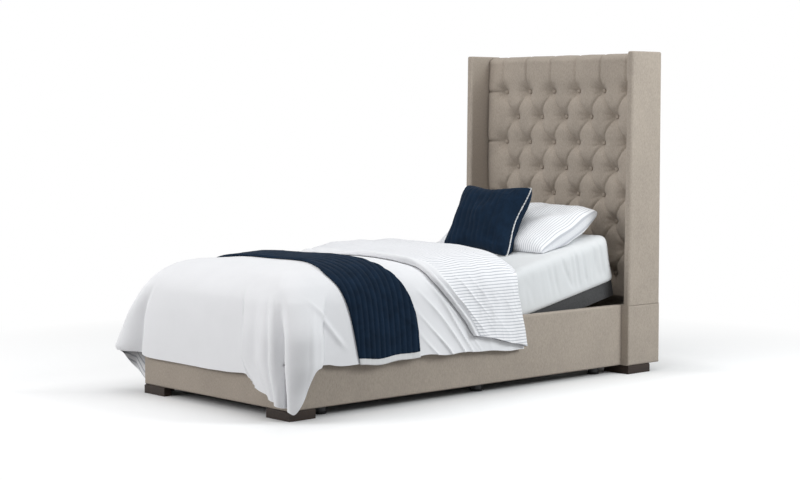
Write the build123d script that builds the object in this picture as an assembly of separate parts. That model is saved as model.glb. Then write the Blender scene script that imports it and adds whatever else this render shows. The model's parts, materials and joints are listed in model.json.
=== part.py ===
"""Adjustable bed: a wing-headboard upholstered surround with a motorised base, mattress and bedding.

Frame: +Z up, floor at Z = 0, headboard at +Y, foot end at -Y, bed centre line at X = 0.
The origin is the middle of the floor area that the whole bed covers. All lengths are millimetres.
The head section is drawn in its raised position, as the bed stands in use.
"""
import math
import os

from build123d import *

# Upholstered surround
surround_width = 1080.0
foot_end_clearance = 85.0
rail_top = 344.0
frame_underside = 42.0
rail_thickness = 45.0
footboard_thickness = 44.0
upholstery_round = 9.0
board_joint_gap = 0.3

# Headboard
headboard_top = 1606.0
wing_depth = 239.0
wing_thickness = 41.0
wing_stand_out = 47.0
wing_top_setback = 17.0
wing_round = 14.0
back_board_thickness = 54.0
seam_gap = 0.5

# Deep buttoned panel
button_column_spacing = 174.5
upright_channel_count = 5
button_row_count = 8
top_button_row_drop = 191.0
lowest_channel_gap = 3.0
top_button_row_height = headboard_top - top_button_row_drop
button_row_spacing = (top_button_row_height - rail_top - lowest_channel_gap) / button_row_count
pleat_depth_from_back = 28.0
tuft_crown = 23.0
panel_side_gap = 0.5
panel_top_round = 26.0
margin_sink = 0.8
button_radius = 11.0
button_height = 8.0
button_pocket_depth = 4.0
button_clearance = 0.4

# Corner feet
foot_arm_x = 160.0
foot_arm_y = 143.0
rear_foot_arm_y = 165.0
foot_arm_thickness = 37.0
foot_bevel = 5.0

# Deck of the adjustable base
deck_top = 300.0
deck_thickness = 80.0
deck_width = 920.0
deck_round = 12.0
head_section_length = 800.0
seat_section_length = 340.0
thigh_section_length = 360.0
calf_section_length = 530.0
deck_head_overlap = 40.0
head_hinge_gap = 10.0
thigh_hinge_gap = 8.0
knee_hinge_gap = 13.0
hinge_drop = 14.0
knee_pivot_rise = 20.0

# Travel, in degrees
head_rest_angle = 12.0
head_top_angle = 60.0
thigh_top_angle = 30.0

# Steel tubes of the base
base_tube_width = 25.0
base_tube_height = 50.0
base_tube_top = 190.0
cross_tube_height = 40.0
section_tube = 25.0
section_tube_inset = 110.0
section_tube_end_gap = 25.0
tube_wall = 2.0
base_end_inset = 10.0
leg_radius = 25.0
leg_inset = 110.0
glide_radius = 28.0
glide_height = 12.0
rest_pad_height = 4.5
rest_pad_radius = 14.0

# Hinges
hinge_plate_thickness = 4.0
fixed_plate_thickness = 5.0
plate_side_gap = 1.0
hinge_pin_radius = 6.0
pin_clearance = 0.08
hinge_boss_radius = 13.0
pin_head_height = 3.0
pin_head_radius = 9.0
hinge_plate_reach = 180.0
hinge_plate_edge = 5.0

# Lifting arms
torque_tube_radius = 19.0
torque_tube_wall = 3.0
head_arm_length = 400.0
leg_arm_length = 260.0
arm_thickness = 8.0
arm_root_height = 32.0
arm_tip_height = 24.0
arm_side_gap = 5.0
roller_radius = 20.0
roller_width = 30.0
roller_gap = 0.3
roller_pin_radius = 6.0
roller_cap_height = 2.5
shoe_edge = 3.0
shoe_width = 25.0
shoe_run_out = 8.0
bearing_width = 15.0
bearing_height = 46.0
bearing_depth = 50.0

# Drive
lever_length = 80.0
lever_nose_radius = 12.0
lever_blade_width = 14.0
lever_thickness = 8.0
lever_spread = 22.0
spindle_radius = 8.0
spindle_height = 90.0
push_block_width = 60.0
push_block_length = 36.0
push_block_low = 70.0
push_block_high = 108.0
push_block_gap = 0.95
drive_width = 90.0
drive_wall = 4.0
drive_low = 60.0
drive_end_reach = 85.0
motor_radius = 28.0
motor_length = 110.0
motor_spacing = 32.0
gearbox_length = 46.0
gearbox_height = 52.0
motor_height = 100.0
motor_end_round = 5.0

# Calf wheels
wheel_radius = 14.0
wheel_width = 20.0
wheel_gap = 0.9
wheel_axle_radius = 5.0

# Control box
control_box_width = 180.0
control_box_length = 90.0
control_box_height = 38.0
control_box_round = 6.0
socket_width = 24.0
socket_height = 14.0
socket_depth = 12.0

# Brackets
bracket_thickness = 4.0
bracket_reach = 60.0
bracket_height = 150.0
bracket_low = 110.0
bolt_head_radius = 7.0
bolt_head_height = 5.0
headboard_bracket_height = 60.0
headboard_bracket_flange = 45.0

# Mattress
mattress_width = 965.0
mattress_thickness = 230.0
mattress_top_round = 45.0
mattress_bottom_round = 18.0
mattress_corner_round = 60.0
mattress_cut_gap = 2.0
flex_gap = 0.5
retainer_radius = 5.0
retainer_spread = 240.0
retainer_rise = 42.0
retainer_bend = 30.0
retainer_gap = 12.0

# Duvet
duvet_crown_height = 655.0
duvet_shoulder_height = 500.0
duvet_edge_height = 632.0
duvet_edge_inset = 150.0
duvet_hang_out = 32.0
duvet_foot_hang_out = 24.0
duvet_side_hem = 214.0
duvet_foot_hem = 168.0
duvet_inner_gap = 0.3
duvet_turn_over_rail = 6.0
duvet_foot_shoulder = 250.0
duvet_foot_shoulder_height = 470.0
duvet_corner_reach = 96.0
duvet_corner_hem = 46.0
corner_fold_span = 172.0
corner_fold_out = 46.0
corner_groove_in = 66.0
corner_groove_out = 18.0
corner_fold_top_height = 545.0
corner_fold_hem_rise = 12.0
corner_tip_reach = 30.0
corner_top_share = 0.3
corner_tip_share = 0.07
corner_point_share = 0.758
side_fold_radius = 40.0
side_fold_end_radius = 30.0
side_fold_relief = 7.0
side_fold_height = 210.0
side_fold_spacing = 78.0
side_fold_slant = 120.0
side_fold_count = 3
fold_down_thickness = 26.0
fold_down_side_start = 700.0
fold_down_side_end = 985.0
fold_down_top_start = 800.0
fold_down_top_end = 1270.0

# Throw
throw_thickness = 8.0
throw_gap = 0.4
throw_middle_start = 1450.0
throw_middle_end = 1815.0
throw_shoulder_start = 1612.0
throw_shoulder_end = 1925.0
throw_hem_start = 1392.0
throw_hem_end = 1768.0
throw_hem = 222.0
throw_shoulder_height = 590.0
bedding_gap = 0.3

# Pillows
pillow_width = 760.0
pillow_depth = 455.0
pillow_crown = 140.0
pillow_edge = 12.0
pillow_corner_x = 400.0
pillow_slope = 29.0
pillow_front_y = 395.0
pillow_front_height = 622.0
cushion_width = 450.0
cushion_depth = 371.0
cushion_crown = 125.0
cushion_edge = 12.0
cushion_centre_x = -22.0
cushion_slope = 62.2
cushion_front_y = 473.0
cushion_front_height = 597.0
draw_in_shares = (1.0, 0.955, 0.93, 0.955, 1.0)
crown_shares = (0.0, 0.82, 1.0, 0.82, 0.0)

# Overrun that every cut shares
overrun = 5.0

# Places worked out from the sizes above
deck_length = head_section_length + seat_section_length + thigh_section_length + calf_section_length
surround_length = wing_depth - deck_head_overlap + deck_length + foot_end_clearance + footboard_thickness
covered_length = surround_length + duvet_corner_reach
wing_back_y = covered_length / 2
wing_front_y = wing_back_y - wing_depth
foot_outer_y = wing_back_y - surround_length
foot_inner_y = foot_outer_y + footboard_thickness
rail_outer_x = surround_width / 2
rail_inner_x = rail_outer_x - rail_thickness
wing_outer_x = rail_outer_x + wing_stand_out
wing_inner_x = wing_outer_x - wing_thickness
board_front_y = wing_back_y - back_board_thickness
head_end_y = wing_front_y + deck_head_overlap
head_hinge_y = head_end_y - head_section_length
thigh_hinge_y = head_hinge_y - seat_section_length
knee_hinge_y = thigh_hinge_y - thigh_section_length
foot_end_y = knee_hinge_y - calf_section_length
hinge_z = deck_top - hinge_drop
deck_bottom = deck_top - deck_thickness
knee_z = deck_bottom + knee_pivot_rise
section_tube_low = deck_bottom - section_tube
arm_drop = hinge_z - section_tube_low + shoe_edge + roller_radius + roller_gap
tube_axis_z = hinge_z - arm_drop
head_shaft_lead = arm_drop * math.tan(math.radians(head_top_angle / 2))
leg_shaft_lead = arm_drop * math.tan(math.radians(thigh_top_angle / 2))
head_shaft_y = head_hinge_y + head_shaft_lead
leg_shaft_y = thigh_hinge_y - leg_shaft_lead
mattress_top = deck_top + mattress_thickness
base_tube_low = base_tube_top - base_tube_height
deck_side_x = deck_width / 2
base_tube_outer_x = deck_side_x + hinge_plate_thickness + plate_side_gap
base_tube_inner_x = base_tube_outer_x - base_tube_width
section_tube_x = deck_side_x - section_tube_inset
drive_top = base_tube_top - cross_tube_height
wheel_centre_z = base_tube_top + wheel_radius + wheel_gap
calf_cross_y = foot_end_y + base_end_inset + section_tube + wheel_radius
sides = (-1, 1)


def span_box(x_span, y_span, z_span):
    """Box between low and high values on each axis."""
    size = [high - low for low, high in (x_span, y_span, z_span)]
    centre = [(high + low) / 2 for low, high in (x_span, y_span, z_span)]
    return Pos(*centre) * Box(*size)


def side_span(side, near, far):
    """X span from near to far on the given side, low value first."""
    return tuple(sorted((side * near, side * far)))


def outline_x(points, x_low, x_high):
    """Solid with an outline of (y, z) points, carried along X."""
    face = make_face(Polyline(*points, close=True))
    return extrude(Plane.YZ.offset(x_low) * face, amount=x_high - x_low)


def outline_y(points, y_low, y_high):
    """Solid with an outline of (x, z) points, carried along Y."""
    plane = Plane(origin=(0, y_low, 0), x_dir=(1, 0, 0), z_dir=(0, -1, 0))
    face = make_face(Polyline(*points, close=True))
    return extrude(plane * face, amount=y_low - y_high)


def rod_x(radius, x_span, y, z):
    """Round bar along X."""
    length = x_span[1] - x_span[0]
    return Pos((x_span[0] + x_span[1]) / 2, y, z) * Rot(0, 90, 0) * Cylinder(radius, length)


def rod_y(radius, y_span, x, z):
    """Round bar along Y."""
    length = y_span[1] - y_span[0]
    return Pos(x, (y_span[0] + y_span[1]) / 2, z) * Rot(90, 0, 0) * Cylinder(radius, length)


def post(radius, x, y, z_span):
    """Round bar along Z."""
    height = z_span[1] - z_span[0]
    return Pos(x, y, (z_span[0] + z_span[1]) / 2) * Cylinder(radius, height)


def square_tube_y(x, y_span, z_low, width, height):
    """Rectangular steel tube along Y, open at both ends."""
    outer = span_box((x - width / 2, x + width / 2), y_span, (z_low, z_low + height))
    bore = span_box(
        (x - width / 2 + tube_wall, x + width / 2 - tube_wall),
        (y_span[0] - overrun, y_span[1] + overrun),
        (z_low + tube_wall, z_low + height - tube_wall),
    )
    return outer - bore


def square_tube_x(x_span, y, z_low, width, height):
    """Rectangular steel tube along X, open at both ends."""
    outer = span_box(x_span, (y - width / 2, y + width / 2), (z_low, z_low + height))
    bore = span_box(
        (x_span[0] - overrun, x_span[1] + overrun),
        (y - width / 2 + tube_wall, y + width / 2 - tube_wall),
        (z_low + tube_wall, z_low + height - tube_wall),
    )
    return outer - bore


def group(solids):
    """One shape that keeps its solids apart."""
    return Compound([solid for item in solids for solid in item.solids()])


def rounded(shape, radius, axes):
    """Shape with the edges along the given axes rounded."""
    edges = ShapeList()
    for axis in axes:
        edges += shape.edges().filter_by(axis)
    return fillet(edges, radius)


def raised(shape):
    """A head section piece turned from flat to its raised rest position."""
    return shape.rotate(Axis((0, head_hinge_y, hinge_z), (1, 0, 0)), head_rest_angle)


# Upholstered surround


def side_rail(side):
    """Padded side rail between the footboard and the lower wing."""
    rail = span_box(
        side_span(side, rail_inner_x, rail_outer_x),
        (foot_inner_y + board_joint_gap, wing_front_y - board_joint_gap),
        (frame_underside, rail_top),
    )
    return fillet(rail.edges().filter_by(Axis.Y), upholstery_round)


def footboard():
    """Padded low footboard across the foot end."""
    board = span_box(
        (-rail_outer_x, rail_outer_x), (foot_outer_y, foot_inner_y), (frame_underside, rail_top)
    )
    return rounded(board, upholstery_round, (Axis.X, Axis.Z))


def lower_wing(side):
    """Padded block below the seam, where the rail meets the headboard."""
    block = span_box(
        side_span(side, rail_inner_x, wing_outer_x),
        (wing_front_y, wing_back_y),
        (frame_underside, rail_top - seam_gap),
    )
    return rounded(block, upholstery_round, (Axis.Z, Axis.Y))


def lower_panel():
    """Padded panel between the lower wings, behind the base."""
    panel = span_box(
        (-rail_inner_x + board_joint_gap, rail_inner_x - board_joint_gap),
        (board_front_y, wing_back_y),
        (frame_underside, rail_top - seam_gap),
    )
    return fillet(panel.edges().filter_by(Axis.X), upholstery_round)


def headboard_wing(side):
    """Tall padded wing, its front edge leaning back a little towards the top."""
    outline = [
        (wing_front_y, rail_top),
        (wing_back_y, rail_top),
        (wing_back_y, headboard_top),
        (wing_front_y + wing_top_setback, headboard_top),
    ]
    low, high = side_span(side, wing_inner_x, wing_outer_x)
    wing = outline_x(outline, low, high)
    long_edges = wing.edges().filter_by(lambda edge: edge.length > wing_depth)
    wing = fillet(long_edges, wing_round)
    top = wing.edges().filter_by(lambda edge: edge.center().Z > headboard_top - seam_gap)
    return fillet(top, upholstery_round)


def back_board():
    """Padded board that closes the back of the headboard between the wings."""
    board = span_box(
        (-wing_inner_x + board_joint_gap, wing_inner_x - board_joint_gap),
        (board_front_y, wing_back_y),
        (rail_top, headboard_top - upholstery_round),
    )
    return fillet(board.edges().filter_by(Axis.X), upholstery_round)


# Deep buttoned panel: crossing rows of crowned channels leave diamond tufts


def button_places():
    """(x, z) of every button, alternate rows shifted by half a column."""
    places = []
    for row in range(button_row_count):
        wide = row % 2 == 0
        count = upright_channel_count + (1 if wide else 0)
        for column in range(count):
            x = (column - (count - 1) / 2) * button_column_spacing
            places.append((x, top_button_row_height - row * button_row_spacing))
    return places


def channel_face(pitch, centres, sink=0):
    """Scalloped outline: crowned arcs between pleats, sunk a little, closed along the panel's back."""
    first = centres[0] - pitch / 2
    last = centres[-1] + pitch / 2
    pleat = sink - pleat_depth_from_back
    crown = pleat - tuft_crown
    edges = [
        ThreePointArc((centre - pitch / 2, pleat), (centre, crown), (centre + pitch / 2, pleat))
        for centre in centres
    ]
    edges += [Line((last, pleat), (last, 0)), Line((last, 0), (first, 0)), Line((first, 0), (first, pleat))]
    return make_face(edges)


def slanted_channels():
    """Crowned channels that climb to the right, one pleat through each slanting line of buttons."""
    run = math.hypot(button_column_spacing / 2, button_row_spacing)
    climb = (button_column_spacing / 2 / run, button_row_spacing / run)
    pitch = button_column_spacing * climb[1]
    reach = button_row_count * button_row_spacing
    count = math.ceil((wing_inner_x * climb[1] + reach * climb[0]) / pitch)
    plane = Plane(
        origin=(-climb[0] * reach * 2, board_front_y, top_button_row_height - climb[1] * reach * 2),
        x_dir=(climb[1], 0, -climb[0]),
        z_dir=(climb[0], 0, climb[1]),
    )
    centres = [index * pitch for index in range(-count, count + 1)]
    return extrude(plane * channel_face(pitch, centres), amount=reach * 4)


def upright_channels():
    """Crowned channels that run up over the top from the highest buttons."""
    middle = (upright_channel_count - 1) / 2
    centres = [(column - middle) * button_column_spacing for column in range(upright_channel_count)]
    plane = Plane(origin=(0, board_front_y, top_button_row_height), x_dir=(1, 0, 0), z_dir=(0, 0, 1))
    face = plane * channel_face(button_column_spacing, centres, margin_sink)
    return extrude(face, amount=headboard_top - top_button_row_height)


def level_channels(side):
    """Crowned channels that run from the outermost buttons to a wing."""
    pitch = 2 * button_row_spacing
    rows = button_row_count // 2
    outer = button_column_spacing * upright_channel_count / 2
    centres = [(row + 1 / 2) * pitch for row in range(rows)]
    start = side * outer
    plane = Plane(origin=(start, board_front_y, top_button_row_height), x_dir=(0, 0, -1), z_dir=(side, 0, 0))
    face = channel_face(pitch, centres, margin_sink)
    if plane.y_dir.Y < 0:
        face = mirror(face, about=Plane.XZ)
    return extrude(plane * face, amount=wing_inner_x - panel_side_gap - outer)


def tufted_panel():
    """Deep buttoned front of the headboard as one padded piece."""
    outer = button_column_spacing * upright_channel_count / 2
    low_row = top_button_row_height - button_row_count * button_row_spacing
    depth = (board_front_y - pleat_depth_from_back - tuft_crown - overrun, board_front_y)
    slanted = slanted_channels()
    field = slanted & mirror(slanted, about=Plane.YZ)
    field = field & span_box((-outer, outer), depth, (low_row, top_button_row_height))
    panel = field + upright_channels()
    for side in sides:
        panel = panel + level_channels(side)
    side_x = wing_inner_x - panel_side_gap
    front = board_front_y - pleat_depth_from_back
    panel = panel + span_box((-side_x, side_x), (front, board_front_y), (rail_top, low_row))
    for side in sides:
        corner = span_box(
            side_span(side, outer, side_x),
            (front - tuft_crown / 2, board_front_y),
            (top_button_row_height, headboard_top),
        )
        panel = panel + corner
    rim = Plane(origin=(0, board_front_y, headboard_top), x_dir=(0, -1, 0), z_dir=(1, 0, 0))
    depth_out = pleat_depth_from_back + tuft_crown + overrun
    sliver = make_face(
        [
            Line((depth_out, overrun), (depth_out, -depth_out)),
            Line((depth_out, -depth_out), (pleat_depth_from_back + tuft_crown, -depth_out)),
            ThreePointArc(
                (pleat_depth_from_back + tuft_crown, -depth_out),
                (pleat_depth_from_back + tuft_crown - panel_top_round / 3, -panel_top_round * 2 / 3),
                (pleat_depth_from_back / 2, 0),
            ),
            Line((pleat_depth_from_back / 2, 0), (pleat_depth_from_back / 2, overrun)),
            Line((pleat_depth_from_back / 2, overrun), (depth_out, overrun)),
        ]
    )
    panel = panel - extrude(rim * sliver, amount=wing_outer_x, both=True)
    pockets = [
        Pos(x, 0, z) * rod_y(button_radius + button_clearance, (depth[0], front + button_pocket_depth), 0, 0)
        for x, z in button_places()
    ]
    return panel - pockets


def tuft_buttons():
    """Covered buttons, each in the bottom of its tuft."""
    seat = board_front_y - pleat_depth_from_back + button_pocket_depth
    disc = rod_y(button_radius, (seat - button_height, seat), 0, 0)
    front_edge = disc.edges().sort_by(Axis.Y)[0]
    button = chamfer(front_edge, button_height / 2)
    return group([Pos(x, 0, z) * button for x, z in button_places()])


# Feet and brackets


def corner_foot(side, corner_x, corner_y, towards, arm_y):
    """L-shaped wooden foot with its corner at the given place."""
    points = [
        (corner_x, corner_y),
        (corner_x - side * foot_arm_x, corner_y),
        (corner_x - side * foot_arm_x, corner_y + towards * foot_arm_thickness),
        (corner_x - side * foot_arm_thickness, corner_y + towards * foot_arm_thickness),
        (corner_x - side * foot_arm_thickness, corner_y + towards * arm_y),
        (corner_x, corner_y + towards * arm_y),
    ]
    foot = extrude(make_face(Polyline(*points, close=True)), amount=frame_underside, dir=(0, 0, 1))
    top = foot.edges().filter_by(lambda edge: edge.center().Z > frame_underside - foot_bevel / 2)
    outer = top.filter_by(
        lambda edge: abs(abs(edge.center().X) - abs(corner_x)) < foot_bevel
        or abs(edge.center().Y - corner_y) < foot_bevel
    )
    return chamfer(outer, foot_bevel)


def corner_feet():
    """Four wooden feet, two under the foot corners and two under the lower wings."""
    feet = []
    for side in sides:
        feet.append(corner_foot(side, side * rail_outer_x, foot_outer_y, 1, foot_arm_y))
        feet.append(corner_foot(side, side * wing_outer_x, wing_front_y, 1, rear_foot_arm_y))
    return group(feet)


def rail_brackets():
    """Steel angles in the foot corners and flat plates at the wings."""
    z_span = (bracket_low, bracket_low + bracket_height)
    plates = []
    for side in sides:
        on_rail = span_box(
            side_span(side, rail_inner_x - bracket_thickness, rail_inner_x),
            (foot_inner_y, foot_inner_y + bracket_reach),
            z_span,
        )
        on_foot = span_box(
            side_span(side, rail_inner_x - bracket_reach, rail_inner_x),
            (foot_inner_y, foot_inner_y + bracket_thickness),
            z_span,
        )
        plates.append(on_rail + on_foot)
        flat = span_box(
            side_span(side, rail_inner_x - bracket_thickness, rail_inner_x),
            (wing_front_y - bracket_reach, wing_front_y + bracket_reach),
            z_span,
        )
        plates.append(flat)
    return group(plates)


def bracket_bolts():
    """Bolt heads that hold the brackets, two up each leg."""
    heights = (bracket_low + bracket_height / 4, bracket_low + bracket_height * 3 / 4)
    face_x = rail_inner_x - bracket_thickness
    bolts = []
    for side in sides:
        for z in heights:
            span = side_span(side, face_x - bolt_head_height, face_x)
            for y in (
                foot_inner_y + bracket_reach / 2,
                wing_front_y - bracket_reach / 2,
                wing_front_y + bracket_reach / 2,
            ):
                bolts.append(rod_x(bolt_head_radius, span, y, z))
            face_y = foot_inner_y + bracket_thickness
            x = side * (rail_inner_x - bracket_reach / 2)
            bolts.append(rod_y(bolt_head_radius, (face_y, face_y + bolt_head_height), x, z))
    return group(bolts)


# Fixed part of the adjustable base


def base_side_tubes():
    """Two long steel tubes that carry the base."""
    x = (base_tube_inner_x + base_tube_outer_x) / 2
    span = (foot_end_y + base_end_inset, head_end_y - deck_head_overlap - base_end_inset)
    return group(
        [square_tube_y(side * x, span, base_tube_low, base_tube_width, base_tube_height) for side in sides]
    )


def cross_tube_places():
    """Y of each cross tube: foot end, under the calf, under the seat, under the head and head end."""
    return (
        foot_end_y + base_end_inset + base_tube_width,
        knee_hinge_y - roller_radius * 2,
        (head_hinge_y + thigh_hinge_y) / 2,
        head_shaft_y + head_arm_length + roller_radius * 3,
        head_end_y - deck_head_overlap - base_end_inset - base_tube_width,
    )


def base_cross_tubes():
    """Cross tubes welded between the side tubes."""
    span = (-base_tube_inner_x, base_tube_inner_x)
    low = base_tube_top - cross_tube_height
    return group(
        [square_tube_x(span, y, low, base_tube_width, cross_tube_height) for y in cross_tube_places()]
    )


def leg_places():
    """(x, y) of the six legs of the base."""
    x = (base_tube_inner_x + base_tube_outer_x) / 2
    rows = (
        foot_end_y + leg_inset,
        (head_hinge_y + thigh_hinge_y) / 2,
        head_end_y - deck_head_overlap - leg_inset,
    )
    return [(side * x, y) for side in sides for y in rows]


def base_legs():
    """Round steel legs below the side tubes."""
    return group([post(leg_radius, x, y, (glide_height, base_tube_low)) for x, y in leg_places()])


def leg_glides():
    """Rubber glides under the legs."""
    return group([post(glide_radius, x, y, (0, glide_height)) for x, y in leg_places()])


def headboard_brackets():
    """Steel straps from the head end of the base to the lower panel."""
    straps = []
    z_span = (base_tube_top - headboard_bracket_height, base_tube_top)
    for side in sides:
        inner = base_tube_inner_x - bracket_thickness
        strap = span_box(
            side_span(side, inner, base_tube_inner_x),
            (wing_front_y - leg_inset / 2, board_front_y),
            z_span,
        )
        flange = span_box(
            side_span(side, base_tube_inner_x - headboard_bracket_flange, base_tube_inner_x),
            (board_front_y - bracket_thickness, board_front_y),
            z_span,
        )
        straps.append(strap + flange)
    cross = span_box(
        (-base_tube_inner_x, base_tube_inner_x),
        (cross_tube_places()[-1] - base_tube_width / 2, cross_tube_places()[-1] + base_tube_width / 2),
        (base_tube_top - cross_tube_height, base_tube_top),
    )
    return group([strap - cross for strap in straps])


def seat_crossbars():
    """Bars on the side tubes that carry the fixed seat section."""
    span = (-base_tube_outer_x, base_tube_outer_x)
    height = deck_bottom - base_tube_top
    places = (head_hinge_y - section_tube * 2, thigh_hinge_y + section_tube * 2)
    return group([square_tube_x(span, y, base_tube_top, section_tube, height) for y in places])


def rest_pads():
    """Rubber pads that the lowered sections lie on."""
    head_y = cross_tube_places()[3]
    foot_y = cross_tube_places()[1]
    span = (base_tube_top, base_tube_top + rest_pad_height)
    places = [(side * section_tube_x, y) for side in sides for y in (head_y, foot_y)]
    return group([post(rest_pad_radius, x, y, span) for x, y in places])


def padded_deck(y_low, y_high):
    """Upholstered board with rounded edges."""
    board = span_box((-deck_side_x, deck_side_x), (y_low, y_high), (deck_bottom, deck_top))
    return fillet(board.edges().filter_by(Axis.X) + board.edges().filter_by(Axis.Z), deck_round)


def seat_deck():
    """Fixed seat section of the deck."""
    return padded_deck(thigh_hinge_y + thigh_hinge_gap, head_hinge_y - head_hinge_gap)


def hinge_pivots():
    """Y of the two hinge lines that the fixed plates carry."""
    return (head_hinge_y, thigh_hinge_y)


def fixed_hinge_plates():
    """Upright plates on the side tubes, with a bored round end at each hinge."""
    plates = []
    for y in hinge_pivots():
        for side in sides:
            span = side_span(side, base_tube_outer_x, base_tube_outer_x + fixed_plate_thickness)
            plate = span_box(span, (y - hinge_boss_radius, y + hinge_boss_radius), (base_tube_low, hinge_z))
            plate = plate + rod_x(hinge_boss_radius, span, y, hinge_z)
            bore_span = (span[0] - overrun, span[1] + overrun)
            plates.append(plate - rod_x(hinge_pin_radius + pin_clearance, bore_span, y, hinge_z))
    return group(plates)


def hinge_pin(side, y, z, inner, outer):
    """Pin with a head on the outside."""
    shank = rod_x(hinge_pin_radius, side_span(side, inner, outer), y, z)
    head = rod_x(pin_head_radius, side_span(side, outer, outer + pin_head_height), y, z)
    return shank + head


def hinge_pins():
    """Pins of the head and thigh hinges."""
    outer = base_tube_outer_x + fixed_plate_thickness
    return group([hinge_pin(side, y, hinge_z, deck_side_x, outer) for y in hinge_pivots() for side in sides])


def tube_bearings():
    """Plastic blocks on the side tubes in which the lifting shafts turn."""
    blocks = []
    for y in (head_shaft_y, leg_shaft_y):
        for side in sides:
            span = side_span(side, base_tube_inner_x - bearing_width, base_tube_inner_x)
            top = tube_axis_z + torque_tube_radius
            low = top - bearing_height
            high = section_tube_low - roller_gap
            block = span_box(span, (y - bearing_depth / 2, y + bearing_depth / 2), (low, high))
            bore_span = (span[0] - overrun, span[1] + overrun)
            blocks.append(block - rod_x(torque_tube_radius + pin_clearance, bore_span, y, tube_axis_z))
    return group(blocks)


# Lifting shafts, arms and rollers


def lever_angle(travel):
    """Angle of a lever from straight down at the bottom of its travel, so that it swings evenly."""
    return math.radians(travel / 2)


def torque_tube(y, swing, direction):
    """Lifting shaft with the two lever plates that the push block works on.

    direction is +1 where the section lifts its +Y end and -1 where it lifts its -Y end.
    """
    reach = base_tube_inner_x - plate_side_gap
    shaft = rod_x(torque_tube_radius, (-reach, reach), y, tube_axis_z)
    nose_y = y + direction * lever_length * math.sin(swing)
    nose_z = tube_axis_z - lever_length * math.cos(swing)
    along = math.degrees(math.atan2(nose_z - tube_axis_z, nose_y - y))
    levers = []
    for side in sides:
        span = side_span(side, lever_spread - lever_thickness / 2, lever_spread + lever_thickness / 2)
        half = lever_blade_width / 2
        blade = span_box(span, (y, y + lever_length), (tube_axis_z - half, tube_axis_z + half))
        blade = blade.rotate(Axis((0, y, tube_axis_z), (1, 0, 0)), along)
        nose = rod_x(lever_nose_radius, span, nose_y, nose_z)
        levers.append(blade + nose)
    solid = shaft
    for lever in levers:
        solid = solid + lever
    bore_reach = reach + overrun
    bore = rod_x(torque_tube_radius - torque_tube_wall, (-bore_reach, bore_reach), y, tube_axis_z)
    return solid - bore


def lift_arms(y, length, direction):
    """Pair of tapered arms with the stub axles of the rollers."""
    arms = []
    tip_y = y + direction * length
    for side in sides:
        inner = section_tube_x - roller_width / 2 - arm_side_gap - arm_thickness
        span = side_span(side, inner, inner + arm_thickness)
        outline = [
            (y, tube_axis_z - arm_root_height / 2),
            (tip_y, tube_axis_z - arm_tip_height / 2),
            (tip_y, tube_axis_z + arm_tip_height / 2),
            (y, tube_axis_z + arm_root_height / 2),
        ]
        arm = outline_x(outline, *span)
        arm = arm + rod_x(arm_tip_height / 2, span, tip_y, tube_axis_z)
        arm = arm - rod_x(torque_tube_radius, (span[0] - overrun, span[1] + overrun), y, tube_axis_z)
        end = section_tube_x + roller_width / 2 + roller_cap_height
        axle = rod_x(roller_pin_radius, side_span(side, inner, end), tip_y, tube_axis_z)
        arms.append(arm + axle)
    return group(arms)


def lift_rollers(y):
    """Plastic rollers at the arm tips."""
    rollers = []
    for side in sides:
        span = side_span(side, section_tube_x - roller_width / 2, section_tube_x + roller_width / 2)
        roller = rod_x(roller_radius, span, y, tube_axis_z)
        bore_span = (span[0] - overrun, span[1] + overrun)
        bore = rod_x(roller_pin_radius + pin_clearance, bore_span, y, tube_axis_z)
        rollers.append(roller - bore)
    return group(rollers)


def turned_with_head(shape):
    """A piece of the head lifting shaft turned to the raised rest position."""
    return shape.rotate(Axis((0, head_shaft_y, tube_axis_z), (1, 0, 0)), head_rest_angle)


def roller_shoes(hinge_y, length, direction, travel):
    """Curved shoes under the section tubes, each one arc about the arm's reach at the hinge."""
    radius = arm_drop / math.cos(math.radians(travel / 2)) - roller_radius - roller_gap
    half = radius * math.sin(math.radians(travel / 2)) + shoe_run_out
    centre_y = hinge_y + direction * length
    shoes = []
    for side in sides:
        span = side_span(side, section_tube_x - shoe_width / 2, section_tube_x + shoe_width / 2)
        heights = (hinge_z - radius - shoe_edge, section_tube_low)
        block = span_box(span, (centre_y - half, centre_y + half), heights)
        shoes.append(block & rod_x(radius, span, centre_y, hinge_z))
    return shoes


# Drive


def push_face(y, angle, direction):
    """Y of the push block's working face for a lever at the given angle from straight down."""
    return y + direction * (lever_length * math.sin(angle) - lever_nose_radius - push_block_gap)


def push_block(y, angle, direction):
    """Nut block that travels along its spindle and swings the lever."""
    face = push_face(y, angle, direction)
    span = tuple(sorted((face, face - direction * push_block_length)))
    across = (-push_block_width / 2, push_block_width / 2)
    block = span_box(across, span, (push_block_low, push_block_high))
    bore_span = (span[0] - overrun, span[1] + overrun)
    bore = rod_y(spindle_radius + pin_clearance, bore_span, 0, spindle_height)
    return block - bore


def drive_span():
    """Y span of the drive housing, past the full swing of both levers."""
    return (leg_shaft_y - drive_end_reach, head_shaft_y + drive_end_reach)


def drive_housing():
    """Open tray below the shafts in which the push blocks slide."""
    low, high = drive_span()
    half = drive_width / 2
    tray = span_box((-half, half), (low, high), (drive_low, drive_top - drive_wall))
    hollow = span_box(
        (-half + drive_wall, half - drive_wall),
        (low + drive_wall, high - drive_wall),
        (drive_low + drive_wall, drive_top),
    )
    tray = tray - hollow
    mid = (head_hinge_y + thigh_hinge_y) / 2
    gearbox = span_box(
        (-half + drive_wall, half - drive_wall),
        (mid - gearbox_length / 2, mid + gearbox_length / 2),
        (drive_low + drive_wall, drive_top - drive_wall),
    )
    tray = tray + gearbox
    return fillet(tray.edges().filter_by(Axis.Y).group_by(Axis.Z)[0], drive_wall)


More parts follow.
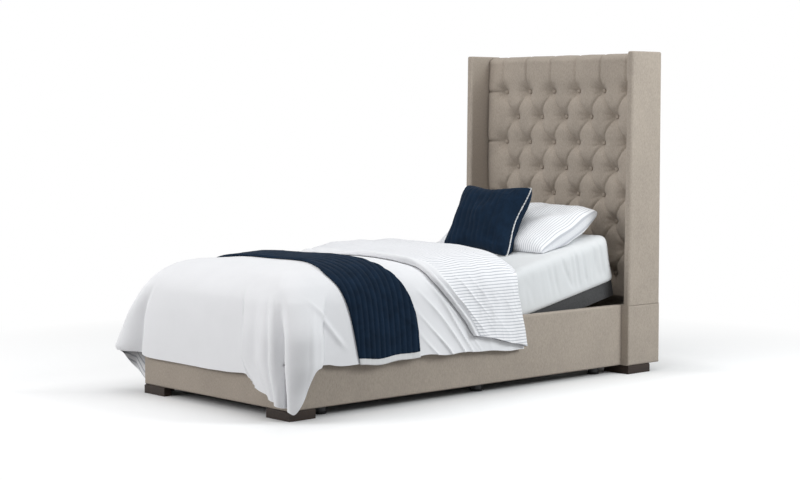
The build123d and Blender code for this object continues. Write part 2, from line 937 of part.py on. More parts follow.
def drive_cover():
    """Lid over the middle of the drive, bolted under the cross tube."""
    mid = (head_hinge_y + thigh_hinge_y) / 2
    half = drive_width / 2
    lid = span_box(
        (-half, half), (mid - gearbox_length, mid + gearbox_length), (drive_top - drive_wall, drive_top)
    )
    return fillet(lid.edges().filter_by(Axis.Z), drive_wall)


def drive_spindles():
    """Lead screws from the gearbox to the ends of the housing."""
    mid = (head_hinge_y + thigh_hinge_y) / 2
    low, high = drive_span()
    spans = ((mid + gearbox_length / 2, high - drive_wall), (low + drive_wall, mid - gearbox_length / 2))
    return group([rod_y(spindle_radius, span, 0, spindle_height) for span in spans])


def drive_motors():
    """Two motors beside the housing, each on its gear case."""
    mid = (head_hinge_y + thigh_hinge_y) / 2
    motors = []
    for side in sides:
        x = side * (drive_width / 2 + motor_spacing)
        start = mid + side * gearbox_length / 2
        span = tuple(sorted((start, start + side * motor_length)))
        barrel = rod_y(motor_radius, span, x, motor_height)
        end_edges = barrel.edges().filter_by(GeomType.CIRCLE)
        barrel = fillet(end_edges, motor_end_round)
        case = span_box(
            side_span(side, drive_width / 2, drive_width / 2 + motor_spacing + motor_radius),
            (mid - gearbox_length / 2, mid + gearbox_length / 2),
            (motor_height - gearbox_height / 2, motor_height + gearbox_height / 2),
        )
        motors.append(case + barrel)
    return group(motors)


def control_box():
    """Control electronics under a cross tube, with a bare power inlet."""
    y = cross_tube_places()[1]
    top = base_tube_top - cross_tube_height
    box = span_box(
        (-control_box_width / 2, control_box_width / 2),
        (y - control_box_length / 2, y + control_box_length / 2),
        (top - control_box_height, top),
    )
    box = fillet(box.edges().filter_by(Axis.Z), control_box_round)
    inlet = span_box(
        (control_box_width / 2 - socket_depth, control_box_width / 2 + overrun),
        (y - socket_width / 2, y + socket_width / 2),
        (top - control_box_height / 2 - socket_height / 2, top - control_box_height / 2 + socket_height / 2),
    )
    return box - inlet


# Moving sections of the deck


def head_deck():
    """Upholstered head section of the deck."""
    return raised(padded_deck(head_hinge_y + head_hinge_gap, head_end_y))


def head_frame_tubes():
    """Steel tubes under the head section that the rollers push on."""
    span = (head_hinge_y + section_tube_end_gap, head_end_y - section_tube_end_gap)
    tubes = [
        square_tube_y(side * section_tube_x, span, section_tube_low, section_tube, section_tube)
        for side in sides
    ]
    inner = section_tube_x - section_tube / 2
    places = (head_hinge_y + section_tube_end_gap + section_tube, head_end_y - section_tube_end_gap - section_tube)
    for y in places:
        tubes.append(square_tube_x((-inner, inner), y, section_tube_low, section_tube, section_tube))
    tubes += roller_shoes(head_hinge_y, head_arm_length, 1, head_top_angle)
    return raised(group(tubes))


def moving_plate(side, y, z, direction, reach, inner):
    """Plate on the side of a section, bored at its hinge."""
    span = side_span(side, inner, inner + hinge_plate_thickness)
    ends = sorted((y, y + direction * reach))
    low = deck_bottom + hinge_plate_edge
    plate = span_box(span, ends, (low, deck_top - hinge_drop))
    plate = plate + rod_x(hinge_boss_radius, span, y, z)
    return plate, (span[0] - overrun, span[1] + overrun)


def head_hinge_plates():
    """Plates on the sides of the head section that turn on the hinge pins."""
    plates = []
    for side in sides:
        plate, bore_span = moving_plate(side, head_hinge_y, hinge_z, 1, hinge_plate_reach, deck_side_x)
        low_corner = span_box(
            bore_span,
            (head_hinge_y - overrun, head_hinge_y + hinge_boss_radius),
            (deck_bottom, hinge_z - hinge_boss_radius),
        )
        plate = plate - low_corner
        plates.append(plate - rod_x(hinge_pin_radius + pin_clearance, bore_span, head_hinge_y, hinge_z))
    return raised(group(plates))


def thigh_deck():
    """Upholstered thigh section of the deck."""
    return padded_deck(knee_hinge_y + knee_hinge_gap, thigh_hinge_y - thigh_hinge_gap)


def thigh_frame_tubes():
    """Steel tubes under the thigh section."""
    span = (knee_hinge_y + section_tube_end_gap * 2, thigh_hinge_y - section_tube_end_gap)
    tubes = [
        square_tube_y(side * section_tube_x, span, section_tube_low, section_tube, section_tube)
        for side in sides
    ]
    inner = section_tube_x - section_tube / 2
    y = thigh_hinge_y - section_tube_end_gap - section_tube
    tubes.append(square_tube_x((-inner, inner), y, section_tube_low, section_tube, section_tube))
    tubes += roller_shoes(thigh_hinge_y, leg_arm_length, -1, thigh_top_angle)
    return group(tubes)


def thigh_hinge_plates():
    """Side plates of the thigh section, from the thigh hinge to the knee, with the knee pins."""
    plates = []
    for side in sides:
        reach = thigh_section_length
        plate, bore_span = moving_plate(side, thigh_hinge_y, hinge_z, -1, reach, deck_side_x)
        span = side_span(side, deck_side_x, deck_side_x + hinge_plate_thickness)
        plate = plate + rod_x(hinge_boss_radius, span, knee_hinge_y, knee_z)
        corner = span_box(
            bore_span,
            (thigh_hinge_y - hinge_boss_radius, thigh_hinge_y + overrun),
            (deck_bottom, hinge_z - hinge_boss_radius),
        )
        plate = plate - corner
        plate = plate - rod_x(hinge_pin_radius + pin_clearance, bore_span, thigh_hinge_y, hinge_z)
        outer = deck_side_x + 2 * hinge_plate_thickness + plate_side_gap
        plate = plate + hinge_pin(side, knee_hinge_y, knee_z, deck_side_x, outer)
        plates.append(plate)
    return group(plates)


def calf_deck():
    """Upholstered calf section of the deck."""
    return padded_deck(foot_end_y, knee_hinge_y - knee_hinge_gap)


def calf_frame_tubes():
    """Steel tubes under the calf section, with the stub axles of the wheels."""
    span = (calf_cross_y + section_tube / 2, knee_hinge_y - section_tube_end_gap * 2)
    tubes = [
        square_tube_y(side * section_tube_x, span, section_tube_low, section_tube, section_tube)
        for side in sides
    ]
    end = base_tube_inner_x - plate_side_gap
    bar = square_tube_x((-end, end), calf_cross_y, section_tube_low, section_tube, section_tube)
    for side in sides:
        outer = base_tube_outer_x - plate_side_gap
        axle_span = side_span(side, end - section_tube, outer)
        axle = rod_x(wheel_axle_radius, axle_span, calf_cross_y, wheel_centre_z)
        plug_half = section_tube / 2 - tube_wall
        plug = span_box(
            side_span(side, end - section_tube, end),
            (calf_cross_y - plug_half, calf_cross_y + plug_half),
            (section_tube_low + tube_wall, deck_bottom - tube_wall),
        )
        bar = bar + plug + axle
    tubes.append(bar)
    return group(tubes)


def calf_wheels():
    """Wheels that run along the side tubes as the knees rise."""
    middle = (base_tube_inner_x + base_tube_outer_x) / 2
    wheels = []
    for side in sides:
        span = side_span(side, middle - wheel_width / 2, middle + wheel_width / 2)
        wheel = rod_x(wheel_radius, span, calf_cross_y, wheel_centre_z)
        bore_span = (span[0] - overrun, span[1] + overrun)
        bore = rod_x(wheel_axle_radius + pin_clearance, bore_span, calf_cross_y, wheel_centre_z)
        wheels.append(wheel - bore)
    return group(wheels)


def calf_knee_plates():
    """Plates on the calf section that turn on the knee pins."""
    plates = []
    inner = deck_side_x + hinge_plate_thickness + plate_side_gap / 2
    for side in sides:
        span = side_span(side, inner, inner + hinge_plate_thickness)
        low = deck_bottom + hinge_plate_edge
        heights = (low, knee_z + hinge_boss_radius)
        plate = span_box(span, (knee_hinge_y - hinge_plate_reach, knee_hinge_y), heights)
        plate = plate + rod_x(hinge_boss_radius, span, knee_hinge_y, knee_z)
        spacer = span_box(
            side_span(side, deck_side_x, inner),
            (knee_hinge_y - hinge_plate_reach, knee_hinge_y - hinge_plate_reach / 2),
            (low, knee_z + hinge_boss_radius),
        )
        plate = plate + spacer
        bore_span = (span[0] - overrun, span[1] + overrun)
        plates.append(plate - rod_x(hinge_pin_radius + pin_clearance, bore_span, knee_hinge_y, knee_z))
    return group(plates)


def retainer_bar():
    """Bent steel bar at the foot end that keeps the mattress in place."""
    y = foot_end_y - retainer_gap
    low = deck_top - deck_thickness / 2
    high = deck_top + retainer_rise
    points = [
        (-retainer_spread, foot_end_y + deck_round, low),
        (-retainer_spread, y, low),
        (-retainer_spread, y, high),
        (retainer_spread, y, high),
        (retainer_spread, y, low),
        (retainer_spread, foot_end_y + deck_round, low),
    ]
    low_bend = retainer_gap - retainer_radius / 2
    radii = [low_bend, retainer_bend, retainer_bend, low_bend]
    path = FilletPolyline(*points, radius=radii)
    start = Plane(origin=path @ 0, z_dir=path % 0)
    bar = sweep(start * Circle(retainer_radius), path=path)
    return bar - calf_deck()


# Mattress


def mattress_section():
    """Rounded cross-section of the mattress as (x, z) edges."""
    sketch = Pos(0, (deck_top + mattress_top) / 2) * Rectangle(mattress_width, mattress_thickness)
    top = sketch.vertices().filter_by(lambda vertex: vertex.Y > deck_top + mattress_thickness / 2)
    sketch = fillet(top, mattress_top_round)
    bottom = sketch.vertices().filter_by(lambda vertex: vertex.Y < deck_top + mattress_bottom_round)
    return fillet(bottom, mattress_bottom_round)


def mattress_run(y_low, y_high):
    """Length of mattress with square ends."""
    plane = Plane(origin=(0, y_high, 0), x_dir=(1, 0, 0), z_dir=(0, -1, 0))
    return extrude(plane * mattress_section(), amount=y_high - y_low)


def wedge_y(hinge_y, direction, angle, gap, z):
    """Y at height z of a mattress face that leans away from a hinge by an angle."""
    return hinge_y + direction * (gap + (z - hinge_z) * math.tan(math.radians(angle)))


def wedge_keep(low_face, high_face):
    """Solid between two leaning faces, each given as y at the deck and y above the mattress."""
    top = mattress_top + overrun
    low = deck_top - overrun
    outline = [(low_face[0], low), (high_face[0], low), (high_face[1], top), (low_face[1], top)]
    return outline_x(outline, -mattress_width, mattress_width)


def leaning_face(hinge_y, direction, angle, gap):
    """A leaning mattress face as its y below the deck and above the mattress."""
    return (
        wedge_y(hinge_y, direction, angle, gap, deck_top - overrun),
        wedge_y(hinge_y, direction, angle, gap, mattress_top + overrun),
    )


def upright_face(y):
    """A square mattress face."""
    return (y, y)


def round_corners(shape, y_end):
    """Shape with its two upright corners at the given end rounded."""
    upright = shape.edges().filter_by(Axis.Z)
    corners = upright.filter_by(lambda edge: abs(edge.center().Y - y_end) < overrun)
    return fillet(corners, mattress_corner_round)


def mattress_head():
    """Head segment of the mattress, its lower face cut back for the full bend."""
    run = round_corners(mattress_run(head_hinge_y, head_end_y), head_end_y)
    face = leaning_face(head_hinge_y, 1, head_top_angle / 2, mattress_cut_gap)
    return raised(run & wedge_keep(face, upright_face(head_end_y + overrun)))


def mattress_seat():
    """Seat segment of the mattress, cut back at both hinges."""
    run = mattress_run(thigh_hinge_y, head_hinge_y)
    low = leaning_face(thigh_hinge_y, 1, thigh_top_angle / 2, mattress_cut_gap)
    high = leaning_face(head_hinge_y, -1, head_top_angle / 2, mattress_cut_gap)
    return run & wedge_keep(low, high)


def mattress_thigh():
    """Thigh segment of the mattress."""
    run = mattress_run(knee_hinge_y, thigh_hinge_y)
    high = leaning_face(thigh_hinge_y, -1, thigh_top_angle / 2, mattress_cut_gap)
    return run & wedge_keep(upright_face(knee_hinge_y + flex_gap), high)


def mattress_calf():
    """Calf segment of the mattress."""
    run = mattress_run(foot_end_y, knee_hinge_y - flex_gap)
    return round_corners(run, foot_end_y)


def mattress_flex_head():
    """Soft wedge of mattress that fills the bend at the head hinge."""
    lean = head_top_angle / 2
    rest = lean - head_rest_angle
    slope = math.radians(head_rest_angle)
    gap = mattress_cut_gap - flex_gap
    top = mattress_top - flex_gap
    bend_y = head_hinge_y - (top - hinge_z) * math.tan(slope / 2)
    far_y = head_hinge_y + (top - hinge_z) * math.tan(math.radians(rest)) + mattress_top_round
    high = top + (far_y - bend_y) * math.tan(slope)
    base_z = deck_top + flex_gap
    roof = [
        (head_hinge_y - mattress_thickness, base_z),
        (head_hinge_y - mattress_thickness, top),
        (bend_y, top),
        (far_y, high),
        (far_y, base_z + (far_y - head_hinge_y) * math.tan(slope)),
        (head_hinge_y, base_z),
    ]
    half = mattress_width / 2 - flex_gap
    body = outline_x(roof, -half, half)
    upper = body.edges().filter_by(
        lambda edge: edge.center().Z > top - overrun and abs(edge.center().X) > half / 2
    )
    body = chamfer(upper, mattress_top_round / 3)
    faces = [
        (wedge_y(head_hinge_y, -1, lean, gap, deck_bottom), deck_bottom),
        (wedge_y(head_hinge_y, 1, rest, gap, deck_bottom), deck_bottom),
        (wedge_y(head_hinge_y, 1, rest, gap, high), high),
        (wedge_y(head_hinge_y, -1, lean, gap, high), high),
    ]
    return body & outline_x(faces, -mattress_width, mattress_width)


def mattress_flex_thigh():
    """Soft wedge of mattress that fills the bend at the thigh hinge."""
    low = leaning_face(thigh_hinge_y, -1, thigh_top_angle / 2, mattress_cut_gap - flex_gap)
    high = leaning_face(thigh_hinge_y, 1, thigh_top_angle / 2, mattress_cut_gap - flex_gap)
    run = mattress_run(low[1] - overrun, high[1] + overrun)
    return run & wedge_keep(low, high)


# Bedding


def duvet_section(offset):
    """Closed outline of the duvet over the bed, grown outwards by an offset, in (x, z)."""
    hem_x = rail_outer_x + duvet_hang_out + offset
    shoulder_x = hem_x - duvet_hang_out / 3
    edge_x = hem_x - duvet_edge_inset
    shoulder_z = duvet_shoulder_height
    edge_z = duvet_edge_height + offset
    crown_z = duvet_crown_height + offset
    bulge = duvet_edge_inset / 6
    middle_x = (shoulder_x + edge_x) / 2 + bulge
    middle_z = (shoulder_z + edge_z) / 2 + bulge
    edges = []
    for side in sides:
        edges.append(Line((side * hem_x, 0), (side * shoulder_x, shoulder_z)))
        shoulder = (side * shoulder_x, shoulder_z)
        edges.append(ThreePointArc(shoulder, (side * middle_x, middle_z), (side * edge_x, edge_z)))
    edges.append(ThreePointArc((-edge_x, edge_z), (0, crown_z), (edge_x, edge_z)))
    edges.append(Line((-hem_x, 0), (hem_x, 0)))
    return make_face(edges)


def duvet_run(y_low, y_high, offset):
    """Length of the duvet's outer form."""
    plane = Plane(origin=(0, y_high, 0), x_dir=(1, 0, 0), z_dir=(0, -1, 0))
    return extrude(plane * duvet_section(offset), amount=y_high - y_low)


def duvet_foot_form():
    """Side outline of the duvet, rounded down over the foot end, carried across the bed."""
    out_y = foot_outer_y - duvet_foot_hang_out
    shoulder_y = out_y + duvet_foot_shoulder
    crown = duvet_crown_height + overrun
    head_y = wing_front_y
    bend = (out_y + duvet_foot_shoulder / 4, duvet_crown_height - duvet_foot_shoulder / 4)
    face = make_face(
        [
            Line((head_y, 0), (head_y, crown)),
            Line((head_y, crown), (shoulder_y, crown)),
            ThreePointArc((shoulder_y, crown), bend, (out_y + overrun, duvet_foot_shoulder_height)),
            Line((out_y + overrun, duvet_foot_shoulder_height), (out_y, 0)),
            Line((out_y, 0), (head_y, 0)),
        ]
    )
    return extrude(Plane.YZ * face, amount=surround_width, both=True)


def bed_core():
    """Space under the duvet: mattress, deck, rails and footboard with a small gap."""
    top = mattress_top + duvet_inner_gap
    rail_x = rail_outer_x + duvet_inner_gap
    rail_z = rail_top + duvet_turn_over_rail
    edge_x = mattress_width / 2 + duvet_inner_gap
    section = [(-rail_x, -overrun), (-rail_x, rail_z), (-edge_x, top), (-edge_x, headboard_top)]
    section += [(-x, z) for x, z in reversed(section)]
    rail_y = foot_outer_y - duvet_inner_gap
    edge_y = foot_end_y - duvet_inner_gap
    slope = math.tan(math.radians(head_rest_angle))
    bend_y = head_hinge_y - (mattress_top - hinge_z) * math.tan(math.radians(head_rest_angle / 2))
    head_y = wing_front_y
    side = [
        (rail_y, -overrun),
        (rail_y, rail_z),
        (edge_y, top),
        (bend_y, top),
        (head_y, top + (head_y - bend_y) * slope),
        (head_y, -overrun),
    ]
    along = outline_y(section, foot_outer_y - surround_width, head_y)
    return along & outline_x(side, -surround_width, surround_width)


def corner_ring(side, share, centre_out, z):
    """Plan outline with three folds around a foot corner, shrunk by a share about a point outside it."""
    peak = duvet_corner_reach * corner_point_share
    crest = corner_fold_span * 2 / 3
    arcs = (
        ((-corner_fold_span, 0), (-crest, corner_fold_out), (-corner_groove_in, corner_groove_out)),
        ((-corner_groove_in, corner_groove_out), (peak, peak), (corner_groove_out, -corner_groove_in)),
        ((corner_groove_out, -corner_groove_in), (corner_fold_out, -crest), (0, -corner_fold_span)),
    )

    def place(point):
        out_x, out_y = (centre_out + share * (value - centre_out) for value in point)
        return (side * (rail_outer_x + out_x), foot_outer_y - out_y)

    edges = [ThreePointArc(*(place(point) for point in arc)) for arc in arcs]
    inner = place((-corner_groove_in, -corner_groove_in))
    edges.append(Line(place(arcs[-1][-1]), inner))
    edges.append(Line(inner, place(arcs[0][0])))
    return Pos(0, 0, z) * make_face(edges)


def corner_folds(side):
    """Three folds at a foot corner, full at the hem and drawn together to the hanging tip."""
    hem = corner_ring(side, 1, 0, duvet_side_hem + corner_fold_hem_rise)
    top = corner_ring(side, corner_top_share, -corner_groove_in, corner_fold_top_height)
    tip = corner_ring(side, corner_tip_share, corner_tip_reach, duvet_corner_hem)
    return [loft([tip, hem], ruled=True), loft([hem, top], ruled=True)]


def side_folds():
    """Soft slanting folds on the hanging sides, between the throw and the turned-down end."""
    x = rail_outer_x + duvet_hang_out + side_fold_relief - side_fold_radius
    folds = []
    for side in sides:
        for index in range(side_fold_count):
            low_y = wing_front_y - throw_hem_start + (index + 1) * side_fold_spacing
            low = Plane(origin=(side * x, low_y, duvet_side_hem), z_dir=(0, 0, 1))
            high_x = side * (x - side_fold_relief)
            high_z = duvet_side_hem + side_fold_height
            high = Plane(origin=(high_x, low_y - side_fold_slant, high_z), z_dir=(0, 0, 1))
            folds.append(loft([low * Circle(side_fold_radius), high * Circle(side_fold_end_radius)]))
    return folds


def fold_down_region():
    """Space of the turned-down head end of the duvet, seen from the side."""
    high = headboard_top
    outline = [
        (wing_front_y - fold_down_side_start, 0),
        (wing_front_y - fold_down_side_start, duvet_side_hem),
        (wing_front_y - fold_down_top_start, duvet_crown_height - duvet_inner_gap),
        (wing_front_y - fold_down_top_start, high),
        (wing_front_y - fold_down_top_end, high),
        (wing_front_y - fold_down_top_end, duvet_crown_height - duvet_inner_gap),
        (wing_front_y - fold_down_side_end, duvet_side_hem),
        (wing_front_y - fold_down_side_end, 0),
    ]
    return outline_x(outline, -surround_width, surround_width)


def head_side_region():
    """Space on the foot side of the duvet's head edge."""
    outline = [
        (wing_front_y - fold_down_side_start, -overrun),
        (wing_front_y - fold_down_side_start, duvet_side_hem),
        (wing_front_y - fold_down_top_start, duvet_crown_height),
        (wing_front_y - fold_down_top_start, headboard_top),
        (foot_outer_y - surround_width, headboard_top),
        (foot_outer_y - surround_width, -overrun),
    ]
    return outline_x(outline, -surround_width, surround_width)


def duvet():
    """Duvet over the mattress, hanging past the rails and the footboard, head end turned down."""
    low = foot_outer_y - surround_width / 2
    high = wing_front_y - fold_down_side_start + overrun
    form = duvet_run(low, high, 0) & duvet_foot_form()
    form = form & head_side_region()
    turned = duvet_run(wing_front_y - fold_down_top_end - overrun, high, fold_down_thickness)
    form = form + (turned & fold_down_region())
    across = (-surround_width, surround_width)
    form = form - span_box(across, (foot_outer_y, wing_front_y), (-overrun, duvet_side_hem))
    form = form - span_box(across, (low, foot_outer_y), (-overrun, duvet_foot_hem))
    corners = [fold for side in sides for fold in corner_folds(side)]
    for fold in corners + side_folds():
        form = form + fold
    return form - bed_core()


def throw_region():
    """Space of the throw: slanting edges down the sides, edges that bow towards the foot end on top."""
    reach = surround_width
    split = throw_shoulder_height
    hang = outline_x(
        [
            (wing_front_y - throw_hem_start, throw_hem),
            (wing_front_y - throw_shoulder_start, split),
            (wing_front_y - throw_shoulder_end, split),
            (wing_front_y - throw_hem_end, throw_hem),
        ],
        -reach,
        reach,
    )
    half = rail_outer_x
    start = [(-half, -throw_shoulder_start), (0, -throw_middle_start), (half, -throw_shoulder_start)]
    end = [(half, -throw_shoulder_end), (0, -throw_middle_end), (-half, -throw_shoulder_end)]
    face = make_face(
        [ThreePointArc(*start), Line(start[2], end[0]), ThreePointArc(*end), Line(end[2], start[0])]
    )
    cover = extrude(Pos(0, wing_front_y, split) * face, amount=headboard_top, dir=(0, 0, 1))
    return hang + cover


def throw():
    """Quilted throw across the bed, over the duvet."""
    low = wing_front_y - throw_shoulder_end - overrun
    high = wing_front_y - throw_hem_start + overrun
    outer = duvet_run(low, high, throw_gap + throw_thickness)
    inner = duvet_run(low - overrun, high + overrun, throw_gap)
    return (outer - inner) & throw_region()


def pillow_form(width, depth, crown, edge):
    """Crowned pillow: pointed corners, sides drawn in between them, thin at the seam."""
    sections = []
    stations = len(draw_in_shares)
    for index in range(stations):
        x = (index / (stations - 1) - 1 / 2) * width
        half = depth / 2 * draw_in_shares[index]
        rise = edge / 2 + (crown - edge) / 2 * crown_shares[index]
        plane = Plane(origin=(x, 0, 0), x_dir=(0, 1, 0), z_dir=(1, 0, 0))
        face = make_face(
            [
                ThreePointArc((-half, edge / 4), (0, rise), (half, edge / 4)),
                Line((half, edge / 4), (half, -edge / 4)),
                ThreePointArc((half, -edge / 4), (0, -rise), (-half, -edge / 4)),
                Line((-half, -edge / 4), (-half, edge / 4)),
            ]
        )
        sections.append(plane * face)
    return loft(sections)


def above_mattress():
    """Space over the raised head of the mattress, with a small gap."""
    block = span_box(
        (-mattress_width, mattress_width),
        (head_hinge_y - seat_section_length, head_end_y + mattress_thickness),
        (mattress_top + bedding_gap, headboard_top),
    )
    return raised(block)


def sleeping_pillow():
    """Pillow that leans up towards the headboard."""
    slope = math.radians(pillow_slope)
    y = wing_front_y - pillow_front_y + pillow_depth / 2 * math.cos(slope)
    z = pillow_front_height + pillow_depth / 2 * math.sin(slope)
    form = pillow_form(pillow_width, pillow_depth, pillow_crown, pillow_edge)
    form = Pos(pillow_corner_x - pillow_width / 2, y, z) * Rot(pillow_slope, 0, 0) * form
    return form & above_mattress()


def scatter_cushion():
    """Small cushion that leans on the pillow."""
    slope = math.radians(cushion_slope)
    y = wing_front_y - cushion_front_y + cushion_depth / 2 * math.cos(slope)
    z = cushion_front_height + cushion_depth / 2 * math.sin(slope)
    form = pillow_form(cushion_width, cushion_depth, cushion_crown, cushion_edge)
    form = Pos(cushion_centre_x, y, z) * Rot(cushion_slope, 0, 0) * form
    return form & above_mattress()


# Every piece by its node name

swing_head = lever_angle(head_top_angle)
swing_leg = lever_angle(thigh_top_angle)
rest_lever_angle = math.radians(head_rest_angle) - swing_head

nodes = {
    "headboard_back_board": back_board,
    "tufted_panel": tufted_panel,
    "tuft_buttons": tuft_buttons,
    "headboard_wing_left": lambda: headboard_wing(-1),
    "headboard_wing_right": lambda: headboard_wing(1),
    "lower_wing_left": lambda: lower_wing(-1),
    "lower_wing_right": lambda: lower_wing(1),
    "headboard_lower_panel": lower_panel,
    "side_rail_left": lambda: side_rail(-1),
    "side_rail_right": lambda: side_rail(1),
    "footboard": footboard,
    "corner_feet": corner_feet,
    "rail_brackets": rail_brackets,
    "bracket_bolts": bracket_bolts,
    "base_side_tubes": base_side_tubes,
    "base_cross_tubes": base_cross_tubes,
    "base_legs": base_legs,
    "leg_glides": leg_glides,
    "headboard_brackets": headboard_brackets,
    "seat_crossbars": seat_crossbars,
    "rest_pads": rest_pads,
    "seat_deck": seat_deck,
    "fixed_hinge_plates": fixed_hinge_plates,
    "hinge_pins": hinge_pins,
    "shaft_bearings": tube_bearings,
    "drive_housing": drive_housing,
    "drive_cover": drive_cover,
    "drive_spindles": drive_spindles,
    "drive_motors": drive_motors,
    "control_box": control_box,
    "head_deck": head_deck,
    "head_frame_tubes": head_frame_tubes,
    "head_hinge_plates": head_hinge_plates,
    "head_lift_shaft": lambda: turned_with_head(torque_tube(head_shaft_y, -swing_head, 1)),
    "head_lift_arms": lambda: turned_with_head(lift_arms(head_shaft_y, head_arm_length, 1)),
    "head_rollers": lambda: turned_with_head(lift_rollers(head_shaft_y + head_arm_length)),
    "head_push_block": lambda: push_block(head_shaft_y, rest_lever_angle, 1),
    "thigh_deck": thigh_deck,
    "thigh_frame_tubes": thigh_frame_tubes,
    "thigh_hinge_plates": thigh_hinge_plates,
    "leg_lift_shaft": lambda: torque_tube(leg_shaft_y, -swing_leg, -1),
    "leg_lift_arms": lambda: lift_arms(leg_shaft_y, leg_arm_length, -1),
    "leg_rollers": lambda: lift_rollers(leg_shaft_y - leg_arm_length),
    "leg_push_block": lambda: push_block(leg_shaft_y, -swing_leg, -1),
    "calf_deck": calf_deck,
    "calf_frame_tubes": calf_frame_tubes,
    "calf_wheels": calf_wheels,
    "calf_knee_plates": calf_knee_plates,
    "retainer_bar": retainer_bar,
    "mattress_head": mattress_head,
    "mattress_seat": mattress_seat,
    "mattress_thigh": mattress_thigh,
    "mattress_calf": mattress_calf,
    "mattress_flex_head": mattress_flex_head,
    "mattress_flex_thigh": mattress_flex_thigh,
    "duvet": duvet,
    "throw": throw,
    "pillow": sleeping_pillow,
    "scatter_cushion": scatter_cushion,
}


def main():
    """Build every piece and write it to its own file."""
    os.makedirs("parts", exist_ok=True)
    for name, make in nodes.items():
        export_step(make(), f"parts/{name}.step")


main()
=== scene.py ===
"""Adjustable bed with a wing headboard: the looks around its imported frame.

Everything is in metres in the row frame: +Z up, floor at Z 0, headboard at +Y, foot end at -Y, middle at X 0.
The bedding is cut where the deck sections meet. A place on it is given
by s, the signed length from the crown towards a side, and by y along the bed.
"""
import json
import logging
import math
from dataclasses import dataclass, field
from enum import Enum
from typing import Sequence

import bmesh
import bpy
import numpy as np
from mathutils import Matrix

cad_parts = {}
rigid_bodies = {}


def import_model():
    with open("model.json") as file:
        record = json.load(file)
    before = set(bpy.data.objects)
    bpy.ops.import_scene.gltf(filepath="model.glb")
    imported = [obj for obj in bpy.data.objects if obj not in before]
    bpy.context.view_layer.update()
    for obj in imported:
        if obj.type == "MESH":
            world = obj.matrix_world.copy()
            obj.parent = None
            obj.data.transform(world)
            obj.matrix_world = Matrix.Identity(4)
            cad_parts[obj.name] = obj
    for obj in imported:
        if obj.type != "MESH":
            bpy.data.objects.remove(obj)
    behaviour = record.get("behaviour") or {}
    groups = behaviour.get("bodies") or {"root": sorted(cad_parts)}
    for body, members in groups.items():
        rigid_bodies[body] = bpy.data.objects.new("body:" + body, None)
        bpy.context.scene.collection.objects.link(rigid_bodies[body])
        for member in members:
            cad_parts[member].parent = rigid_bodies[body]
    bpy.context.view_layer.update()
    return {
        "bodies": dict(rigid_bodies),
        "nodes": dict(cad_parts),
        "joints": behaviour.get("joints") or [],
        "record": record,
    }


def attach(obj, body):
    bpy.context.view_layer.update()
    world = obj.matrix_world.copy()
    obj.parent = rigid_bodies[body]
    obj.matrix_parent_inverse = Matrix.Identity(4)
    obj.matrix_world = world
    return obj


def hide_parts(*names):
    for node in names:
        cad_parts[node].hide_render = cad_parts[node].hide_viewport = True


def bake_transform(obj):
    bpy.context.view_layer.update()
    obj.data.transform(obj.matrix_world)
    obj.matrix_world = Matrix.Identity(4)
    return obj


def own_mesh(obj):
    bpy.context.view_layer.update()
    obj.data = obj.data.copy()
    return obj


Array = np.ndarray
Surface = tuple[np.ndarray, np.ndarray, np.ndarray]
Triple = tuple[float, float, float]
Material = bpy.types.Material
Piece = bpy.types.Object
Socket = bpy.types.NodeSocket
Palette = dict[str, bpy.types.Material]

log = logging.getLogger("bed")
STRIPE_PITCH = 0.0135
RIB_PITCH = 0.031
CUSHION_RIB_PITCH = 0.036
SEAT_CUT = 0.058
THIGH_CUT = -0.292
RAISED = math.radians(12)
RISE_FROM = 0.202
QUARTER = np.pi / 2
TURN = 2 * np.pi
WHITE = (1, 1, 1, 1)


class Half(Enum):
    """The two parts of the turned-down duvet, either side of the seat cut."""

    SEAT = "seat"
    HEAD = "head"


class Cover(Enum):
    """How a pillow's cover is sewn."""

    PLAIN = "plain"
    RIBBED = "ribbed"


# Curves, noise and grids


def run_length(line: Array) -> Array:
    """Length along a line up to each of its points."""
    return np.concatenate([[0], np.cumsum(np.linalg.norm(np.diff(line, axis=0), axis=1))])


def even(line: Array, count: int) -> Array:
    """Points of a line spaced evenly by length."""
    length = run_length(line)
    at = np.linspace(0, length[-1], count)
    return np.stack([np.interp(at, length, column) for column in line.T], axis=1)


def smooth_path(points: Sequence, count: int) -> Array:
    """Catmull-Rom curve through control points: each span is the usual cubic of its four neighbours.

    Args:
        points: Control points, one row each.
        count: Number of points wanted.

    Returns:
        Points spaced evenly along the curve.
    """
    p = np.asarray(points, float)
    p = np.vstack([2 * p[0] - p[1], p, 2 * p[-1] - p[-2]])
    t = np.linspace(0, 1, 40, endpoint=False)[None, :, None]
    a, b, c, d = (p[i : len(p) - 3 + i, None, :] for i in range(4))
    curve = 0.5 * (2 * b + (c - a) * t + (2 * a - 5 * b + 4 * c - d) * t**2 + (3 * b - a - 3 * c + d) * t**3)
    return even(np.vstack([curve.reshape(-1, p.shape[1]), p[-2]]), count)


def traced(line: Sequence, at: Array, count: int = 300) -> Array:
    """Second coordinate of a line's smooth path where its first is the one given."""
    curve = smooth_path(line, count)
    return np.interp(at, curve[:, 0], curve[:, 1])


def ease(value: Array, low: float, high: float) -> Array:
    """Smooth step from 0 at low to 1 at high."""
    t = np.clip((value - low) / (high - low), 0, 1)
    return t * t * (3 - 2 * t)


def ridge(value: Array, centre: float, width: float) -> Array:
    """Bell of height 1 about a centre."""
    return np.exp(-(((value - centre) / width) ** 2))


def join(*parts: Array) -> Array:
    """Grid of places from the grids of their coordinates."""
    return np.stack(parts, axis=-1)


def circle(angle: Array) -> Array:
    """Points of a circle of radius 1."""
    return join(np.cos(angle), np.sin(angle))


def unit(vectors: Array) -> Array:
    """Vectors of length 1."""
    return vectors / np.maximum(np.linalg.norm(vectors, axis=-1, keepdims=True), 1e-12)


